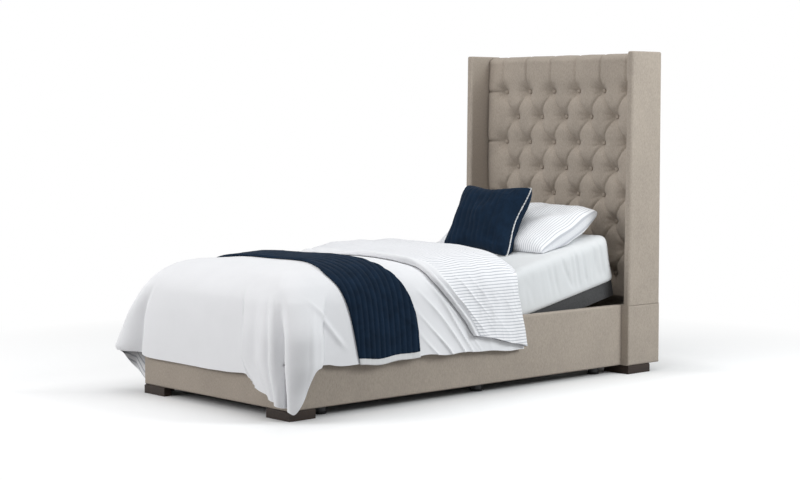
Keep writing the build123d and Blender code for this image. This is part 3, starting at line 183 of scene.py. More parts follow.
def wrap(grid: Array, axis: int = 1) -> Array:
    """Grid with its first row or column repeated at the end."""
    return np.concatenate([grid, grid.take([0], axis=axis)], axis=axis)


def border(grid: Array) -> Array:
    """The outermost places of a grid as one ring."""
    return np.concatenate([grid[0, :-1], grid[:-1, -1], grid[-1, :0:-1], grid[:0:-1, 0]])


def grid_normals(points: Array) -> Array:
    """Unit normals of a grid: the cross product of its two central differences."""
    return unit(np.cross(np.gradient(points, axis=0), np.gradient(points, axis=1)))


def loop_normals(points: Array) -> Array:
    """Unit normals of a grid whose rows close on themselves."""
    return grid_normals(np.concatenate([points[:, -1:], points, points[:, :1]], axis=1))[:, 1:-1]


def upward(normals: Array, row: int, column: int) -> Array:
    """Normals turned so that the one at a row and column points up."""
    return normals if normals[row, column, 2] > 0 else -normals


@dataclass(frozen=True)
class Ripple:
    """Smooth noise in space: a sum of sine waves with seeded directions, about -1 to 1.

    size is the wavelength along X, Y and Z in metres.
    """

    seed: int
    size: Triple
    waves: int = 18

    def at(self, points: Array) -> Array:
        """Noise at each point: the sum of sin(wave vector . point + phase), scaled to a spread near 1.

        Args:
            points: Places, with X, Y and Z last.

        Returns:
            The noise, one number a place.
        """
        rng = np.random.default_rng(self.seed)
        direction = unit(rng.normal(size=(self.waves, 3)))
        vector = direction * rng.uniform(0.7, 1.4, (self.waves, 1)) * TURN / np.asarray(self.size)
        phase = rng.uniform(0, TURN, self.waves)
        total = np.zeros(points.shape[:-1])
        for k, shift in zip(vector, phase):
            total += np.sin(points @ k + shift)
        return total * math.sqrt(2 / self.waves)

    def crease(self, points: Array, width: float = 0.35) -> Array:
        """Narrow ridges along the lines where the noise is zero."""
        return np.exp(-np.abs(self.at(points)) / width)


# Meshes


def linked(name: str, data: bpy.types.ID) -> Piece:
    """New object of the scene."""
    made = bpy.data.objects.new(name, data)
    bpy.context.scene.collection.objects.link(made)
    return made


class Shell:
    """Collects the grids, strips and caps of one closed piece."""

    def __init__(self) -> None:
        """Start with nothing."""
        self.points: list[Array] = []
        self.cloth: list[Array] = []
        self.normals: list[Array] = []
        self.faces: list[Array] = []
        self.finish: list[Array] = []
        self.count = 0

    def add(self, points: Array, cloth: Array | None = None, normals: Array | None = None) -> Array:
        """Vertices of a grid.

        Args:
            points: Grid of places, (rows, columns, 3).
            cloth: Grid of places on the flat cloth, in metres.
            normals: Grid of normals, where shading has to run on over a cut.

        Returns:
            Grid of vertex numbers.
        """
        shape = points.shape[:-1]
        total = int(np.prod(shape))
        self.points.append(points.reshape(-1, 3))
        self.cloth.append(np.zeros((total, 2)) if cloth is None else cloth.reshape(-1, 2))
        self.normals.append(np.zeros((total, 3)) if normals is None else normals.reshape(-1, 3))
        self.count += total
        return np.arange(self.count - total, self.count).reshape(shape)

    def skin(self, numbers: Array, finish: int = 0, flip: bool = False) -> Array:
        """Square faces over a grid of vertex numbers."""
        a, b, c, d = numbers[:-1, :-1], numbers[1:, :-1], numbers[1:, 1:], numbers[:-1, 1:]
        self.quads(np.stack([a, d, c, b] if flip else [a, b, c, d], axis=-1).reshape(-1, 4), finish)
        return numbers

    def quads(self, faces: Array, finish: int) -> None:
        """Keep faces and the finish that they have."""
        self.faces.append(faces)
        self.finish.append(np.full(len(faces), finish))

    def strip(self, first: Array, second: Array) -> None:
        """Strip of faces between two rows of vertex numbers."""
        self.skin(np.stack([first, second]))

    def rim(self, top: Array, under: Array) -> None:
        """Strips round the four edges of two grids that face each other."""
        self.strip(top[0], under[0])
        self.strip(under[-1], top[-1])
        self.strip(under[:, 0], top[:, 0])
        self.strip(top[:, -1], under[:, -1])

    def fan(self, ring: Array) -> None:
        """Triangles from a closed ring of vertex numbers to its middle."""
        hub = np.full(len(ring), self.add(np.vstack(self.points)[ring].mean(axis=0)[None, None])[0, 0])
        self.quads(join(ring, np.roll(ring, -1), hub, hub), 0)

    def caps(self, numbers: Array) -> None:
        """Close the first and the last row of a grid whose rows are rings."""
        self.fan(numbers[0][::-1])
        self.fan(numbers[-1])

    def piece(self, name: str, finishes: Sequence[Material]) -> Piece:
        """Mesh object of everything collected, with all faces turned outwards.

        Args:
            name: Name of the piece.
            finishes: Materials, by finish number.

        Returns:
            The object, at the origin.
        """
        points, faces, normals = np.vstack(self.points), np.vstack(self.faces), np.vstack(self.normals)
        triangle = (np.diff(np.sort(faces, axis=1), axis=1) == 0).any(axis=1)
        rows = [list(dict.fromkeys(face)) if three else face for face, three in zip(faces.tolist(), triangle)]
        mesh = bpy.data.meshes.new(name)
        mesh.from_pydata(points.tolist(), [], rows)
        mesh.polygons.foreach_set("use_smooth", np.ones(len(rows), bool))
        mesh.polygons.foreach_set("material_index", np.concatenate(self.finish).astype(np.int32))
        corner = np.zeros(len(mesh.loops), np.int32)
        mesh.loops.foreach_get("vertex_index", corner)
        layer = mesh.uv_layers.new(name="Cloth")
        layer.data.foreach_set("uv", np.vstack(self.cloth)[corner].astype(np.float32).ravel())
        for finish in finishes:
            mesh.materials.append(finish)
        plain = not np.abs(normals).any()
        self.settle(mesh, drop_loose=plain)
        if not plain:
            own = np.zeros(len(mesh.vertices) * 3, np.float32)
            mesh.vertices.foreach_get("normal", own)
            own = own.reshape(-1, 3)
            given = np.linalg.norm(normals, axis=1) > 0.5
            own[given] = normals[given]
            mesh.normals_split_custom_set_from_vertices(own.tolist())
        return linked(name, mesh)

    def settle(self, mesh: bpy.types.Mesh, drop_loose: bool) -> None:
        """Turn every face outwards, and take out vertices that no face uses.

        Args:
            mesh: The mesh to change.
            drop_loose: Take out unused vertices; off where normals are given by vertex number.
        """
        shaped = bmesh.new()
        shaped.from_mesh(mesh)
        if drop_loose:
            bmesh.ops.delete(shaped, geom=[v for v in shaped.verts if not v.link_faces], context="VERTS")
        bmesh.ops.recalc_face_normals(shaped, faces=shaped.faces)
        if shaped.calc_volume(signed=True) < 0:
            bmesh.ops.reverse_faces(shaped, faces=shaped.faces)
        shaped.to_mesh(mesh)
        shaped.free()
        mesh.update()


def tube(shell: Shell, line: Array, radius: float, sides: int = 8) -> None:
    """Round cord along a closed line: a circle carried in the plane across each step.

    Args:
        shell: Where the cord is added.
        line: Points of its middle line.
        radius: Its radius.
        sides: Points of the circle.
    """
    step = unit(np.roll(line, -1, axis=0) - np.roll(line, 1, axis=0))
    one = unit(np.cross(step, np.where(np.abs(step[:, 2:]) < 0.9, [[0, 0, 1.0]], [[1.0, 0, 0]])))
    two = np.cross(one, step)
    spokes = circle(np.linspace(0, TURN, sides, endpoint=False))
    ring = line[:, None] + radius * (one[:, None] * spokes[None, :, :1] + two[:, None] * spokes[None, :, 1:])
    shell.skin(wrap(wrap(shell.add(ring)), axis=0))


# Shader building


@dataclass(frozen=True)
class Value:
    """A number socket that takes part in Python expressions."""

    graph: "Graph"
    socket: Socket

    def math(self, operation: str, *others: "float | Value") -> "Value":
        """Math node of this value and others."""
        return self.graph.value("ShaderNodeMath", {"operation": operation}, dict(enumerate((self, *others))))

    def __add__(self, other: "float | Value") -> "Value":
        """Sum."""
        return self.math("ADD", other)

    __radd__ = __add__

    def __mul__(self, other: "float | Value") -> "Value":
        """Product."""
        return self.math("MULTIPLY", other)

    __rmul__ = __mul__

    def __sub__(self, other: "float | Value") -> "Value":
        """Difference."""
        return self.math("SUBTRACT", other)

    def __rsub__(self, other: float) -> "Value":
        """Difference from a number."""
        return self * -1.0 + other

    def __truediv__(self, other: float) -> "Value":
        """Quotient."""
        return self.math("DIVIDE", other)

    def clamped(self) -> "Value":
        """Held between 0 and 1."""
        return self.math("MAXIMUM", 0.0).math("MINIMUM", 1.0)

    def above(self, limit: float, soft: float) -> "Value":
        """0 below a limit and 1 above it, with a soft edge."""
        return ((self - limit) / soft + 0.5).clamped()


class Graph:
    """Nodes of one material or of the world."""

    def __init__(self, owner: Material | bpy.types.World) -> None:
        """Empty the owner's nodes."""
        self.owner = owner
        owner.use_nodes = True
        self.tree = owner.node_tree
        self.tree.nodes.clear()

    def node(self, kind: str, settings: dict | None = None, links: dict | None = None) -> bpy.types.Node:
        """Any node.

        Args:
            kind: Node type.
            settings: Properties, set first.
            links: Values or links by socket name or number.

        Returns:
            The node.
        """
        made = self.tree.nodes.new(kind)
        for key, value in (settings or {}).items():
            setattr(made, key, value)
        for key, value in (links or {}).items():
            value = value.socket if isinstance(value, Value) else value
            if isinstance(value, Socket):
                self.tree.links.new(value, made.inputs[key])
            else:
                made.inputs[key].default_value = value
        return made

    def out(self, kind: str, links: dict, settings: dict | None = None) -> Socket:
        """First output of any node."""
        return self.node(kind, settings, links).outputs[0]

    def value(self, kind: str, settings: dict | None, links: dict) -> Value:
        """Number output of any node."""
        return Value(self, self.out(kind, links, settings))

    def place(self) -> Socket:
        """Object coordinates."""
        return self.node("ShaderNodeTexCoord").outputs["Object"]

    def cloth(self) -> Socket:
        """Coordinates on the flat cloth."""
        return self.out("ShaderNodeUVMap", {}, {"uv_map": "Cloth"})

    def axes(self, place: Socket) -> tuple[Value, Value, Value]:
        """The three numbers of a place."""
        split = self.node("ShaderNodeSeparateXYZ", None, {0: place})
        return tuple(Value(self, part) for part in split.outputs)

    def noise(self, place: Socket, scale: float, detail: float = 3, rough: float = 0.55) -> Value:
        """Noise from 0 to 1."""
        links = {"Vector": place, "Scale": scale, "Detail": detail, "Roughness": rough}
        return self.value("ShaderNodeTexNoise", None, links)

    def stretched(self, place: Socket, scale: Triple) -> Socket:
        """A place with its axes scaled."""
        return self.out("ShaderNodeMapping", {"Vector": place, "Scale": scale})

    def mix(self, share: Value, first: tuple, second: tuple) -> Socket:
        """Colour between two, by a share."""
        return self.node("ShaderNodeMix", {"data_type": "RGBA"}, {0: share, 6: first, 7: second}).outputs[2]

    def shades(self, share: Value, colour: Triple, low: float, high: float) -> Socket:
        """Colour between a darker and a lighter level of itself."""
        return self.mix(share, tone(*colour, low), tone(*colour, high))

    def bump(self, height: Value, distance: float, strength: float = 1.0) -> Socket:
        """Normal from a height in units of a distance."""
        return self.out("ShaderNodeBump", {"Height": height, "Distance": distance, "Strength": strength})

    def either(self, share: Value, first: Socket, second: Socket) -> Socket:
        """Shader between two, by a share."""
        return self.out("ShaderNodeMixShader", {0: share, 1: first, 2: second})

    def seen(self) -> Value:
        """1 for the rays that show the surface to the camera or in a gloss."""
        ray = self.node("ShaderNodeLightPath").outputs
        return Value(self, ray["Is Camera Ray"]).math("MAXIMUM", Value(self, ray["Is Glossy Ray"]))

    def close(self, shader: Socket, kind: str = "ShaderNodeOutputMaterial") -> Material | bpy.types.World:
        """Join a shader to the output node."""
        self.node(kind, None, {"Surface": shader})
        return self.owner

    def cloth_finish(self, colour: Socket, normal: Socket, sheen: float, gloss: float) -> Material:
        """Dull shader with a soft sheen."""
        soft = {"Roughness": 0.9, "Sheen_Weight": sheen, "Sheen_Roughness": 0.5, "Specular_IOR_Level": gloss}
        return self.finish(Base_Color=colour, Normal=normal, **soft)

    def finish(self, **sockets: object) -> Material:
        """Principled shader with the given sockets, spaces in their names written as underscores."""
        links = {name.replace("_", " "): value for name, value in sockets.items()}
        return self.close(self.out("ShaderNodeBsdfPrincipled", links))


def tone(red: float, green: float, blue: float, level: float = 1.0) -> tuple[float, float, float, float]:
    """Screen colour, 0 to 255, as the linear colour of a socket."""
    return (*(((c * level / 255 + 0.055) / 1.055) ** 2.4 for c in (red, green, blue)), 1.0)


# Finishes


@dataclass(frozen=True)
class Finish:
    """What every finish has: a name and a screen colour."""

    name: str
    colour: Triple

    def graph(self) -> Graph:
        """Graph of a new material."""
        return Graph(bpy.data.materials.new(self.name))


@dataclass(frozen=True)
class Weave(Finish):
    """Plain woven upholstery with a heathered yarn."""

    thread: float = 0.0016
    heather: float = 0.1

    def material(self) -> Material:
        """Warp and weft as crossed sine waves, yarn colour from fine and coarse noise."""
        g = self.graph()
        place = g.place()
        x, y, z = g.axes(place)
        turn = TURN / self.thread
        warp = ((x + y) * turn).math("SINE")
        weft = (z * turn + (x + y) * turn * 0.5).math("SINE")
        slub = g.noise(g.stretched(place, (1, 1, 0.35)), 260, 2)
        yarn = slub * 0.45 + g.noise(place, 720, 2) * 0.35 + g.noise(place, 5, 2) * 0.2
        return g.finish(
            Base_Color=g.shades(yarn.above(0.5, 0.36), self.colour, 1 - self.heather, 1 + self.heather),
            Roughness=0.95,
            Normal=g.bump(warp * weft * 0.5 + slub, 0.0007, 0.6),
            Sheen_Weight=0.1,
            Sheen_Roughness=0.4,
            Specular_IOR_Level=0.15,
        )


@dataclass(frozen=True)
class Linen(Finish):
    """Washed bed linen, plain or with thin printed stripes across the cloth's first coordinate."""

    stripe: Triple | None = None
    cover: float = 0.3

    def material(self) -> Material:
        """Fine threads and a soft fade, with stripes where a folded saw wave of the cloth is high."""
        g = self.graph()
        slub = g.noise(g.place(), 330, 2)
        if self.stripe:
            lane = g.axes(g.cloth())[0] / STRIPE_PITCH + slub * 0.12
            line = lane.math("PINGPONG", 0.5).above(0.5 - self.cover / 2, 0.09)
            colour = g.mix(line * (slub * 0.4 + 0.72), tone(*self.colour), tone(*self.stripe))
        else:
            fade = (slub * 0.5 + g.noise(g.place(), 9, 2) * 0.5).above(0.5, 0.7)
            colour = g.shades(fade, self.colour, 0.97, 1.0)
        return g.cloth_finish(colour, g.bump(slub, 0.0006, 0.5), sheen=0.1, gloss=0.15)


@dataclass(frozen=True)
class Quilting(Finish):
    """Dark quilted cotton."""

    def material(self) -> Material:
        """Fine threads and a fade in patches."""
        g = self.graph()
        fine = g.noise(g.place(), 520, 2)
        patch = g.noise(g.place(), 22, 3)
        colour = g.shades((fine * 0.5 + patch * 0.5).above(0.5, 0.4), self.colour, 0.8, 1.22)
        return g.cloth_finish(colour, g.bump(fine, 0.0009, 0.8), sheen=0.03, gloss=0.06)


@dataclass(frozen=True)
class Wood(Finish):
    """Dark stained wood with a satin lacquer."""

    def material(self) -> Material:
        """Grain lines that wander along Y, with fine pores."""
        g = self.graph()
        grain = g.noise(g.stretched(g.place(), (90, 7, 90)), 1.0, 5, 0.6)
        pores = g.noise(g.stretched(g.place(), (700, 60, 700)), 1.0, 2)
        return g.finish(
            Base_Color=g.shades(grain.above(0.5, 0.5), self.colour, 0.7, 1.35),
            Roughness=pores * 0.2 + 0.42,
            Specular_IOR_Level=0.3,
            Normal=g.bump(grain + pores * 0.5, 0.0004),
            Coat_Weight=0.05,
            Coat_Roughness=0.2,
        )


@dataclass(frozen=True)
class Metal(Finish):
    """Steel, painted or plated."""

    metallic: float
    rough: float

    def material(self) -> Material:
        """Fine texture of the coat, with faint handling marks."""
        g = self.graph()
        marks = g.noise(g.stretched(g.place(), (8, 60, 60)), 1.0, 4)
        return g.finish(
            Base_Color=g.shades(marks.above(0.55, 0.4), self.colour, 0.9, 1.1),
            Metallic=self.metallic,
            Roughness=marks * 0.15 + self.rough,
            Normal=g.bump(g.noise(g.place(), 700, 2), 0.0002),
        )


@dataclass(frozen=True)
class Moulding(Finish):
    """Moulded plastic or rubber with a spark-eroded grain."""

    rough: float
    grain: float = 900

    def material(self) -> Material:
        """Nearly even colour, fine grain in the surface."""
        g = self.graph()
        dust = g.noise(g.place(), 12, 3)
        return g.finish(
            Base_Color=g.shades(dust.above(0.55, 0.5), self.colour, 1.0, 1.12),
            Roughness=dust * 0.1 + self.rough,
            Normal=g.bump(g.noise(g.place(), self.grain, 2), 0.00025),
            Specular_IOR_Level=0.3,
        )


# By the record's slot names, and then the linens that share the slot white_linen.
FINISHES = {
    "upholstery": Weave("upholstery", (172, 161, 149)),
    "button_fabric": Weave("button fabric", (164, 153, 141)),
    "deck_fabric": Weave("deck cloth", (80, 80, 81), heather=0.14),
    "white_linen": Linen("white linen", (240, 240, 242)),
    "navy_quilting": Quilting("navy quilting", (21, 36, 53)),
    "foot_wood": Wood("stained wood", (40, 30, 24)),
    "frame_steel": Metal("frame paint", (62, 63, 65), metallic=0.0, rough=0.45),
    "plated_steel": Metal("zinc plating", (190, 191, 194), metallic=1.0, rough=0.32),
    "black_rubber": Moulding("black rubber", (38, 38, 39), rough=0.75),
    "bearing_plastic": Moulding("bearing plastic", (214, 213, 207), rough=0.45),
    "drive_plastic": Moulding("drive housing plastic", (52, 52, 54), rough=0.55, grain=600),
    "reverse": Linen("striped linen", (244, 244, 246), stripe=(188, 190, 196)),
    "pillow": Linen("pillow linen", (240, 241, 243), stripe=(192, 194, 200), cover=0.27),
    "sheet": Linen("sheet linen", (224, 226, 227)),
    "trim": Linen("trim linen", (226, 226, 226)),
}


# Joint stretches


@dataclass(frozen=True)
class Bend:
    """A stretch along Y between the two bodies that meet at a joint."""

    first: str
    second: str
    start: float
    end: float

    def apply(self, piece: Piece, slot: str, fill: float) -> Piece:
        """Bake the piece's placement into its mesh and hand it back."""
        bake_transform(piece)
        return piece


HEAD_BEND = Bend("bed_frame", "head_section", 0.078, 0.378)
THIGH_BEND = Bend("bed_frame", "thigh_section", 0.038, -0.262)
KNEE_BEND = Bend("thigh_section", "calf_section", -0.322, -0.622)


# Headboard


@dataclass
class Headboard:
    """Deep buttoned panel between the wings, with its covered buttons."""

    palette: Palette
    half_width: float = 0.5452
    low: float = 0.3445
    top: float = 1.594
    back_y: float = 1.1728
    pleat_y: float = 1.1575
    crown: float = 0.041
    top_round: float = 0.026
    column: float = 0.1745
    row: float = 0.1335
    first_row: float = 1.415
    rows: int = 8
    dimple: float = 0.014
    pit: float = 0.036
    pleat_share: float = 0.43
    pleat_width: float = 0.006
    gather: float = 0.003
    gathers: int = 9
    cell: float = 0.0044
    button_radius: float = 0.012
    button_y: float = 1.1643

    def buttons(self) -> Array:
        """(x, z) of every button: rows of six and five in turn, half a column apart."""
        places = []
        for index in range(self.rows):
            count = 6 if index % 2 == 0 else 5
            x = (np.arange(count) - (count - 1) / 2) * self.column
            places.append(np.stack([x, np.full(count, self.first_row - index * self.row)], axis=1))
        return np.vstack(places)

    def pleats(self, x: Array, z: Array) -> Array:
        """Distance to the nearest pleat line.

        In the buttoned field the lines slant from button to button, where one of two sine waves is 0.
        Above the top row and below the last they stand upright, and beyond the outer buttons they run level.

        Args:
            x: Places across.
            z: Heights.

        Returns:
            The distances.
        """
        second = self.first_row - self.row
        last = self.first_row - (self.rows - 1) * self.row
        across, up = x / self.column, (z - second) / (2 * self.row)
        slant = np.pi * math.hypot(1 / self.column, 1 / (2 * self.row))
        slanting = (np.abs(np.sin(np.pi * (across + way * up))) / slant for way in (1, -1))
        upright = np.abs(np.cos(np.pi * across)) * self.column / np.pi
        below = np.abs(np.sin(np.pi * across)) * self.column / np.pi
        level = np.abs(np.cos(np.pi * up)) * 2 * self.row / np.pi
        above = z > self.first_row
        inside = np.where(above, upright, np.where(z < last, below, np.minimum(*slanting)))
        outside = np.where(above, np.minimum(upright, level), level)
        return np.where(np.abs(x) > 2.5 * self.column, outside, inside)

    def padding(self, x: Array, z: Array) -> Array:
        """Height of the padding, full on the puffs, lower along the pleats and least at the buttons.

        A pleat is a narrow valley that fades as exp(-distance / width). A button draws a wide pit,
        1 - exp(-(r / reach) ** 1.7), with gathers round it that follow a cosine of the angle.

        Args:
            x: Places across.
            z: Heights.

        Returns:
            The height at each place.
        """
        share = 1 - self.pleat_share * np.exp(-self.pleats(x, z) / self.pleat_width)
        drawn = np.zeros_like(x)
        for bx, bz in self.buttons():
            r = np.hypot(x - bx, z - bz)
            spoke = 0.5 + 0.5 * np.cos(self.gathers * np.arctan2(z - bz, x - bx) + 40 * bx + 23 * bz)
            share *= (1 - np.exp(-((r / self.pit) ** 1.7))) * (1 - 0.2 * ridge(r, 0, 0.085))
            drawn += self.dimple * ridge(r, 0, 0.024) + self.gather * spoke * ridge(r, 0.034, 0.02)
        swell = Ripple(3, (0.17, 1.0, 0.27)).at(join(x, 0 * x, z))
        flatter = 1 - 0.22 * ease(z, self.first_row + 0.03, self.top - 0.03)
        return self.crown * share * flatter * (1 + 0.06 * swell) - drawn

    def panel(self) -> Piece:
        """Front as a height over x and s, the length up the panel and over its top, then a wall and back."""
        corner = self.top - self.top_round
        run, over = corner - self.low, self.top_round * QUARTER
        up = np.linspace(0, run + over, int((run + over) / self.cell))
        across = np.linspace(-self.half_width, self.half_width, int(2 * self.half_width / self.cell))
        s, x = np.meshgrid(up, across, indexing="ij")
        angle = np.clip((s - run) / self.top_round, 0, QUARTER)
        depth = self.padding(x, self.low + s)
        depth *= 0.72 + 0.28 * ease(self.half_width - np.abs(x), 0.0, 0.02)
        depth *= 0.1 + 0.9 * ease(s, 0.0, 0.03)
        depth *= np.where(angle > 0, 0.55 + 0.45 * np.cos(angle), 1.0)
        y = self.pleat_y + self.top_round * (1 - np.cos(angle)) - depth * np.cos(angle)
        z = np.minimum(self.low + s, corner) + (self.top_round + depth * 0.42) * np.sin(angle)
        front = join(x, np.minimum(y, self.back_y - 0.0006), z)
        shell = Shell()
        ring = border(shell.skin(shell.add(front, join(x, s))))
        wall = border(front)
        wall[:, 1] = self.back_y
        wall[:, 2] = np.minimum(wall[:, 2], self.top - 0.004)
        back = shell.add(wall[:, None])[:, 0]
        shell.strip(wrap(ring, 0), wrap(back, 0))
        shell.fan(back)
        piece = shell.piece("buttoned_panel", [self.palette["upholstery"]])
        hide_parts("tufted_panel")
        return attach(piece, "bed_frame")

    def button_caps(self) -> Piece:
        """Fabric domes: a half circle turned about Y, with a rolled rim, one per button."""
        rise = ((0, -0.0065), (0.45, -0.0062), (0.8, -0.0045), (0.97, -0.0018), (1.0, 0.001), (0.9, 0.0035))
        profile = smooth_path(rise, 9)[1:]
        spokes = circle(np.linspace(0, TURN, 20, endpoint=False))
        reach = self.button_radius * profile[None, :, :1] * spokes[:, None]
        y = self.button_y + profile[None, :, 1] * np.ones((len(spokes), 1))
        shell = Shell()
        for bx, bz in self.buttons():
            numbers = shell.add(join(bx + reach[..., 0], y, bz + reach[..., 1]))
            shell.skin(wrap(numbers, axis=0))
            shell.caps(numbers.T)
        piece = shell.piece("covered_buttons", [self.palette["button_fabric"]])
        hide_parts("tuft_buttons")
        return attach(piece, "bed_frame")

    def build(self) -> list[Piece]:
        """Panel and buttons."""
        return [self.panel(), self.button_caps()]


# Mattress


@dataclass
class Mattress:
    """Mattress in a fitted sheet, in three lengths cut at the hinges, its head end turned up."""

    palette: Palette
    half_width: float = 0.4822
    low: float = 0.3004
    high: float = 0.5297
    top_round: float = 0.045
    bottom_round: float = 0.018
    head_y: float = 1.042
    foot_y: float = -1.0015
    plan_round: float = 0.06
    end_round: float = 0.03
    pull: float = 0.003
    head_pull: float = 0.006
    hinge_y: float = 0.228
    hinge_z: float = 0.286
    ring_points: int = 150
    sheet_girth: float = 1.44
    step: float = 0.0085

    def section(self) -> Array:
        """(x, z) loop of the rounded cross-section, from the middle of the underside."""
        corners = []
        for index, (side, level) in enumerate(((1, -1), (1, 1), (-1, 1), (-1, -1))):
            radius = self.top_round if level > 0 else self.bottom_round
            centre_z = self.high - radius if level > 0 else self.low + radius
            angle = (index - 1) * QUARTER + np.linspace(0, QUARTER, 12)
            corners.append((side * (self.half_width - radius), centre_z) + radius * circle(angle))
        return even(np.vstack([[(0, self.low)], *corners, [(0, self.low)]]), self.ring_points + 1)[:-1]

    def stations(self) -> Array:
        """Y of each ring before the head end is raised, close together at the rounded ends."""
        fine = np.array([0, 0.002, 0.005, 0.01, 0.016, 0.024, 0.034, 0.046, 0.06])
        ends = (self.foot_y + fine, self.head_y - fine)
        inner = np.arange(self.foot_y + 0.068, self.head_y - 0.064, self.step)
        return np.unique(np.concatenate([*ends, inner, [SEAT_CUT, THIGH_CUT]]))

    def set_back(self, end: Array, radius: float) -> Array:
        """How far a rounded edge lies back at a distance from the end: R - sqrt(R^2 - (R - distance)^2)."""
        return radius - np.sqrt(np.maximum(radius**2 - (radius - np.minimum(end, radius)) ** 2, 0))

    def bend(self, points: Array) -> Array:
        """Places with the head end turned up about the hinge, smoothly over the bend."""
        angle = ease(points[..., 1], HEAD_BEND.start, HEAD_BEND.end) * RAISED
        cos, sin = np.cos(angle), np.sin(angle)
        y, z = points[..., 1] - self.hinge_y, points[..., 2] - self.hinge_z
        return join(points[..., 0], self.hinge_y + y * cos - z * sin, self.hinge_z + y * sin + z * cos)

    def surface(self) -> Surface:
        """The rounded loop at every station, with the sheet pulled into creases on its sides.

        Returns:
            Places, cloth coordinates and normals over (stations, ring).
        """
        loop, y = self.section(), self.stations()
        end = np.minimum(y - self.foot_y, self.head_y - y)
        middle, half = (self.low + self.high) / 2, (self.high - self.low) / 2
        x = loop[None, :, 0] * (1 - self.set_back(end, self.plan_round) / self.half_width)[:, None]
        kept = 1 - self.set_back(end, self.end_round) / half * 0.6
        z = middle + (loop[None, :, 1] - middle) * kept[:, None]
        along = y[:, None] * np.ones_like(x)
        points = join(x, along, z)
        on_side = np.abs(unit(((loop - (0, middle)) / (self.half_width, half)) ** 5))[None, :, 0]
        free = ease(z, self.low + 0.02, self.low + 0.07) * ease(self.high - 0.01 - z, 0, 0.03)
        pulls = Ripple(11, (9.0, 0.07, 0.5)).crease(points, 0.5)
        pulls *= self.pull + self.head_pull * ease(along, 0.45, 0.75)
        soft = 0.0011 * Ripple(12, (0.2, 0.2, 0.2)).at(points)
        points[..., 0] -= np.sign(x) * np.maximum(pulls * free * on_side - soft * on_side * 0.4, 0)
        points[..., 2] -= np.where(z > self.high - 0.02, np.abs(soft), 0)
        points = self.bend(points)
        girth = np.linspace(0, self.sheet_girth, len(loop))[None, :] * np.ones_like(x)
        normals = upward(loop_normals(points), len(y) // 2, self.ring_points // 2)
        return points, join(girth, along), normals

    def build(self) -> list[Piece]:
        """Three closed lengths, cut at the thigh and seat cuts."""
        surface, y = self.surface(), self.stations()
        plan = (
            ("calf", self.foot_y, THIGH_CUT, KNEE_BEND, ("mattress_calf", "mattress_thigh")),
            ("seat", THIGH_CUT, SEAT_CUT, THIGH_BEND, ("mattress_seat", "mattress_flex_thigh")),
            ("head", SEAT_CUT, self.head_y, HEAD_BEND, ("mattress_head", "mattress_flex_head")),
        )
        made = []
        for name, low, high, bend, nodes in plan:
            part = slice(int(np.argmin(np.abs(y - low))), int(np.argmin(np.abs(y - high))) + 1)
            shell = Shell()
            numbers = shell.add(*(grid[part] for grid in surface))
            shell.skin(wrap(numbers))
            shell.caps(numbers)
            piece = shell.piece("sheeted_mattress_" + name, [self.palette["sheet"]])
            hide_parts(*nodes)
            made.append(bend.apply(piece, "white_linen", 0.9))
        return made


# Duvet


